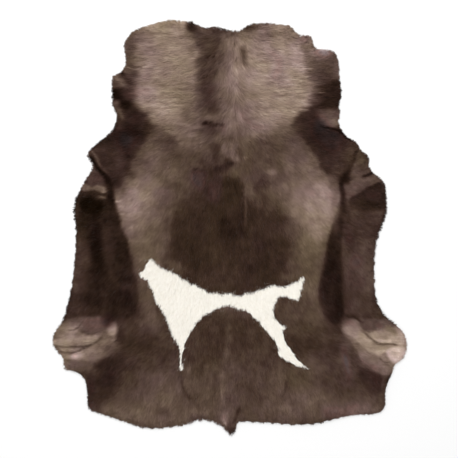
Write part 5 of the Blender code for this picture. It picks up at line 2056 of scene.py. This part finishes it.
    def _trimmed(
        self,
        roots: np.ndarray,
        ways: np.ndarray,
        lengths: np.ndarray,
        chance: np.random.Generator,
    ) -> np.ndarray:
        """Shorten the hairs that would hang too far past the rim.

        Args:
            roots: The hairs' roots.
            ways: The way that each hair lies.
            lengths: Each hair's length.
            chance: The layer's own source of chance.

        Returns:
            Each hair's length.
        """
        last = self._last_places(roots, chance)
        start = self.relief.inside(roots)
        end = self.relief.inside(roots + ways * lengths[:, None])
        share = np.clip((start - last) / np.maximum(start - end, WELD), self.shortest, 1)
        return lengths * np.where(end < last, share, 1)

    def _last_places(self, roots: np.ndarray, chance: np.random.Generator) -> np.ndarray:
        """Give where each hair has to end at the rim: how far inside it, or past it below 0.

        Args:
            roots: The hairs' roots.
            chance: The layer's own source of chance.

        Returns:
            One distance from the rim for each hair.
        """
        overhang = HAIR_SIZES[self.growth].overhang
        last = -overhang * chance.uniform(*self.OVERHANG_SHARES, len(roots))
        for reach in REACHES:
            past = (roots - np.array((reach.across, reach.along)) * MM) / MM
            away = (past[:, 0] / reach.half_across) ** 2 + (past[:, 1] / reach.half_along) ** 2
            last -= reach.past * MM * np.exp(-math.log(2) * away)
        return last

    def _mesh(
        self, points: np.ndarray, ways: np.ndarray, chance: np.random.Generator
    ) -> bpy.types.Mesh:
        """Join the hairs in one mesh, each a narrow strip that ends in a point.

        Args:
            points: Three points for each hair.
            ways: The way that each hair lies.
            chance: The layer's own source of chance.

        Returns:
            The mesh.
        """
        count, corner_count = len(points), len(self.CORNERS)
        faces = self.BLADE, self.POINT
        loop_count = sum(map(len, faces))
        width = HAIR_SIZES[self.growth].width * chance.uniform(*self.WIDTH_SHARES, count)
        roll = np.radians(chance.normal(0, self.roll, count))
        level = np.column_stack([-ways[:, 1], ways[:, 0]])
        side = np.column_stack([level * np.cos(roll)[:, None], np.sin(roll)])
        side *= width[:, None] / 2
        root, half, tip = points.transpose(1, 0, 2)
        narrow = side * self.root_width
        corners = np.stack([root + narrow, root - narrow, half - side, half + side, tip], 1)
        number = np.arange(count)[:, None]
        loops = np.hstack([number * corner_count + np.array(face) for face in faces])
        starts = number * loop_count + np.array((0, len(self.BLADE)))
        mesh = bpy.data.meshes.new(self.name)
        mesh.vertices.add(count * corner_count)
        mesh.vertices.foreach_set("co", corners.astype(np.float32).ravel())
        mesh.loops.add(count * loop_count)
        mesh.loops.foreach_set("vertex_index", loops.ravel())
        mesh.polygons.add(count * len(faces))
        mesh.polygons.foreach_set("loop_start", starts.ravel())
        mesh.update(calc_edges=True)
        mesh.shade_smooth()
        return mesh

    def _tint(
        self,
        mesh: bpy.types.Mesh,
        points: np.ndarray,
        ways: np.ndarray,
        chance: np.random.Generator,
    ) -> None:
        """Keep each hair's shade, blush and white, and how far along it each vertex lies.

        Args:
            mesh: The layer's mesh.
            points: Three points for each hair.
            ways: The way that each hair lies.
            chance: The layer's own source of chance.
        """
        shade, blush = self.coat.tints(points.reshape(-1, 3))
        white = self.coat.white(points.reshape(-1, 3)).reshape(-1, 3)
        shade = shade.reshape(-1, 3) * self.coat.streaks(points[:, 0, :2], ways)[:, None]
        numbers = {
            "white": white[:, self.CORNERS].ravel(),
            "chance": np.repeat(chance.uniform(0, 1, len(points)), len(self.CORNERS)),
            "shade": shade[:, self.CORNERS].ravel(),
            "blush": blush.reshape(-1, 3)[:, self.CORNERS].ravel(),
        }
        along = np.array((0, self.middle, 1))[list(self.CORNERS)]
        numbers["along"] = np.tile(along, len(points))
        keep_numbers(mesh, numbers)


class Lamp(NamedTuple):
    """A square, soft lamp that is aimed at the hide's middle."""

    name: str
    place: tuple[float, float, float]
    size: float
    watts: float


LAMPS = (
    # name, place, size, watts
    Lamp("overhead", (0.0, 0.0, 3.6), 3.2, 60.0),
    Lamp("key", (-0.9, 2.2, 2.4), 1.6, 50.0),
)


@dataclass
class Studio:
    """A pale floor, soft light from all round and a camera straight above."""

    floor_size: float = 30.0
    floor_gap: float = 0.0003
    picture_width: float = 1.318
    coat_level: float = 0.003
    lens: float = 85.0
    sensor: float = 36.0
    aside: tuple[float, float] = (-0.0020, -0.0018)
    sight: float = 100.0
    room_colour: Colour = (1.0, 1.0, 1.0, 1.0)
    room_light: float = 0.62

    def build(self) -> None:
        """Build the floor, the light and the camera."""
        self._floor()
        self._light()
        self._camera()

    def _floor(self) -> None:
        """Lay the floor just under the hide."""
        plane = bmesh.new()
        bmesh.ops.create_grid(plane, x_segments=1, y_segments=1, size=self.floor_size / 2)
        bmesh.ops.translate(plane, verts=plane.verts, vec=(0, 0, -self.floor_gap))
        mesh = bpy.data.meshes.new("floor")
        plane.to_mesh(mesh)
        plane.free()
        mesh.materials.append(FloorFinish().make())
        floor = bpy.data.objects.new("floor", mesh)
        bpy.context.scene.collection.objects.link(floor)

    def _light(self) -> None:
        """Light the scene from a white room and the lamps, all aimed at the hide's middle."""
        scene = bpy.context.scene
        scene.view_settings.view_transform = "Standard"
        scene.world = bpy.data.worlds.new("room")
        scene.world.use_nodes = True
        room = scene.world.node_tree.nodes["Background"]
        room.inputs["Color"].default_value = self.room_colour
        room.inputs["Strength"].default_value = self.room_light
        for lamp in LAMPS:
            light = bpy.data.lights.new(lamp.name, "AREA")
            light.size = lamp.size
            light.energy = lamp.watts
            held = bpy.data.objects.new(lamp.name, light)
            held.location = lamp.place
            held.rotation_euler = (-Vector(lamp.place)).to_track_quat("-Z", "Y").to_euler()
            scene.collection.objects.link(held)

    def _camera(self) -> None:
        """Hang the camera straight above, with the neck at the top of the picture."""
        view = bpy.data.cameras.new("camera")
        view.lens = self.lens
        view.sensor_width = self.sensor
        camera = bpy.data.objects.new("camera", view)
        height = self.picture_width * self.lens / self.sensor
        camera.location = (*self.aside, self.coat_level + height)
        view.clip_end = self.sight
        bpy.context.scene.collection.objects.link(camera)
        bpy.context.scene.camera = camera


@dataclass
class Hide:
    """The whole hide: skin, underwool and the layers of its coat."""

    coat_layers: int = 4

    def build(self) -> list[bpy.types.Object]:
        """Returns:
            The pieces.
        """
        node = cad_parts["pelt"]
        relief = Relief(node)
        coat = Coat(relief)
        sheet = PeltSheet(relief, node)
        skin = Skin(sheet, relief)
        wool = Underwool(sheet, relief, coat, skin)
        pieces = [skin.build(), wool.build()]
        hair = HairFinish().make()
        growths = [Growth.COAT] * self.coat_layers + [Growth.GUARD]
        for number, growth in enumerate(growths, 1):
            layer = HairLayer(f"{growth.value}_hair_{number}", growth, number, relief, coat, wool)
            pieces.append(layer.build(hair))
        return pieces


def main() -> None:
    """Build the hide and the studio, and report what was made."""
    logging.basicConfig(level=logging.INFO, format="%(name)s: %(message)s")
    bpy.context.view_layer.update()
    pieces = Hide().build()
    Studio().build()
    LOG.info("%d pieces", len(pieces))


if __name__ == "__main__":
    main()
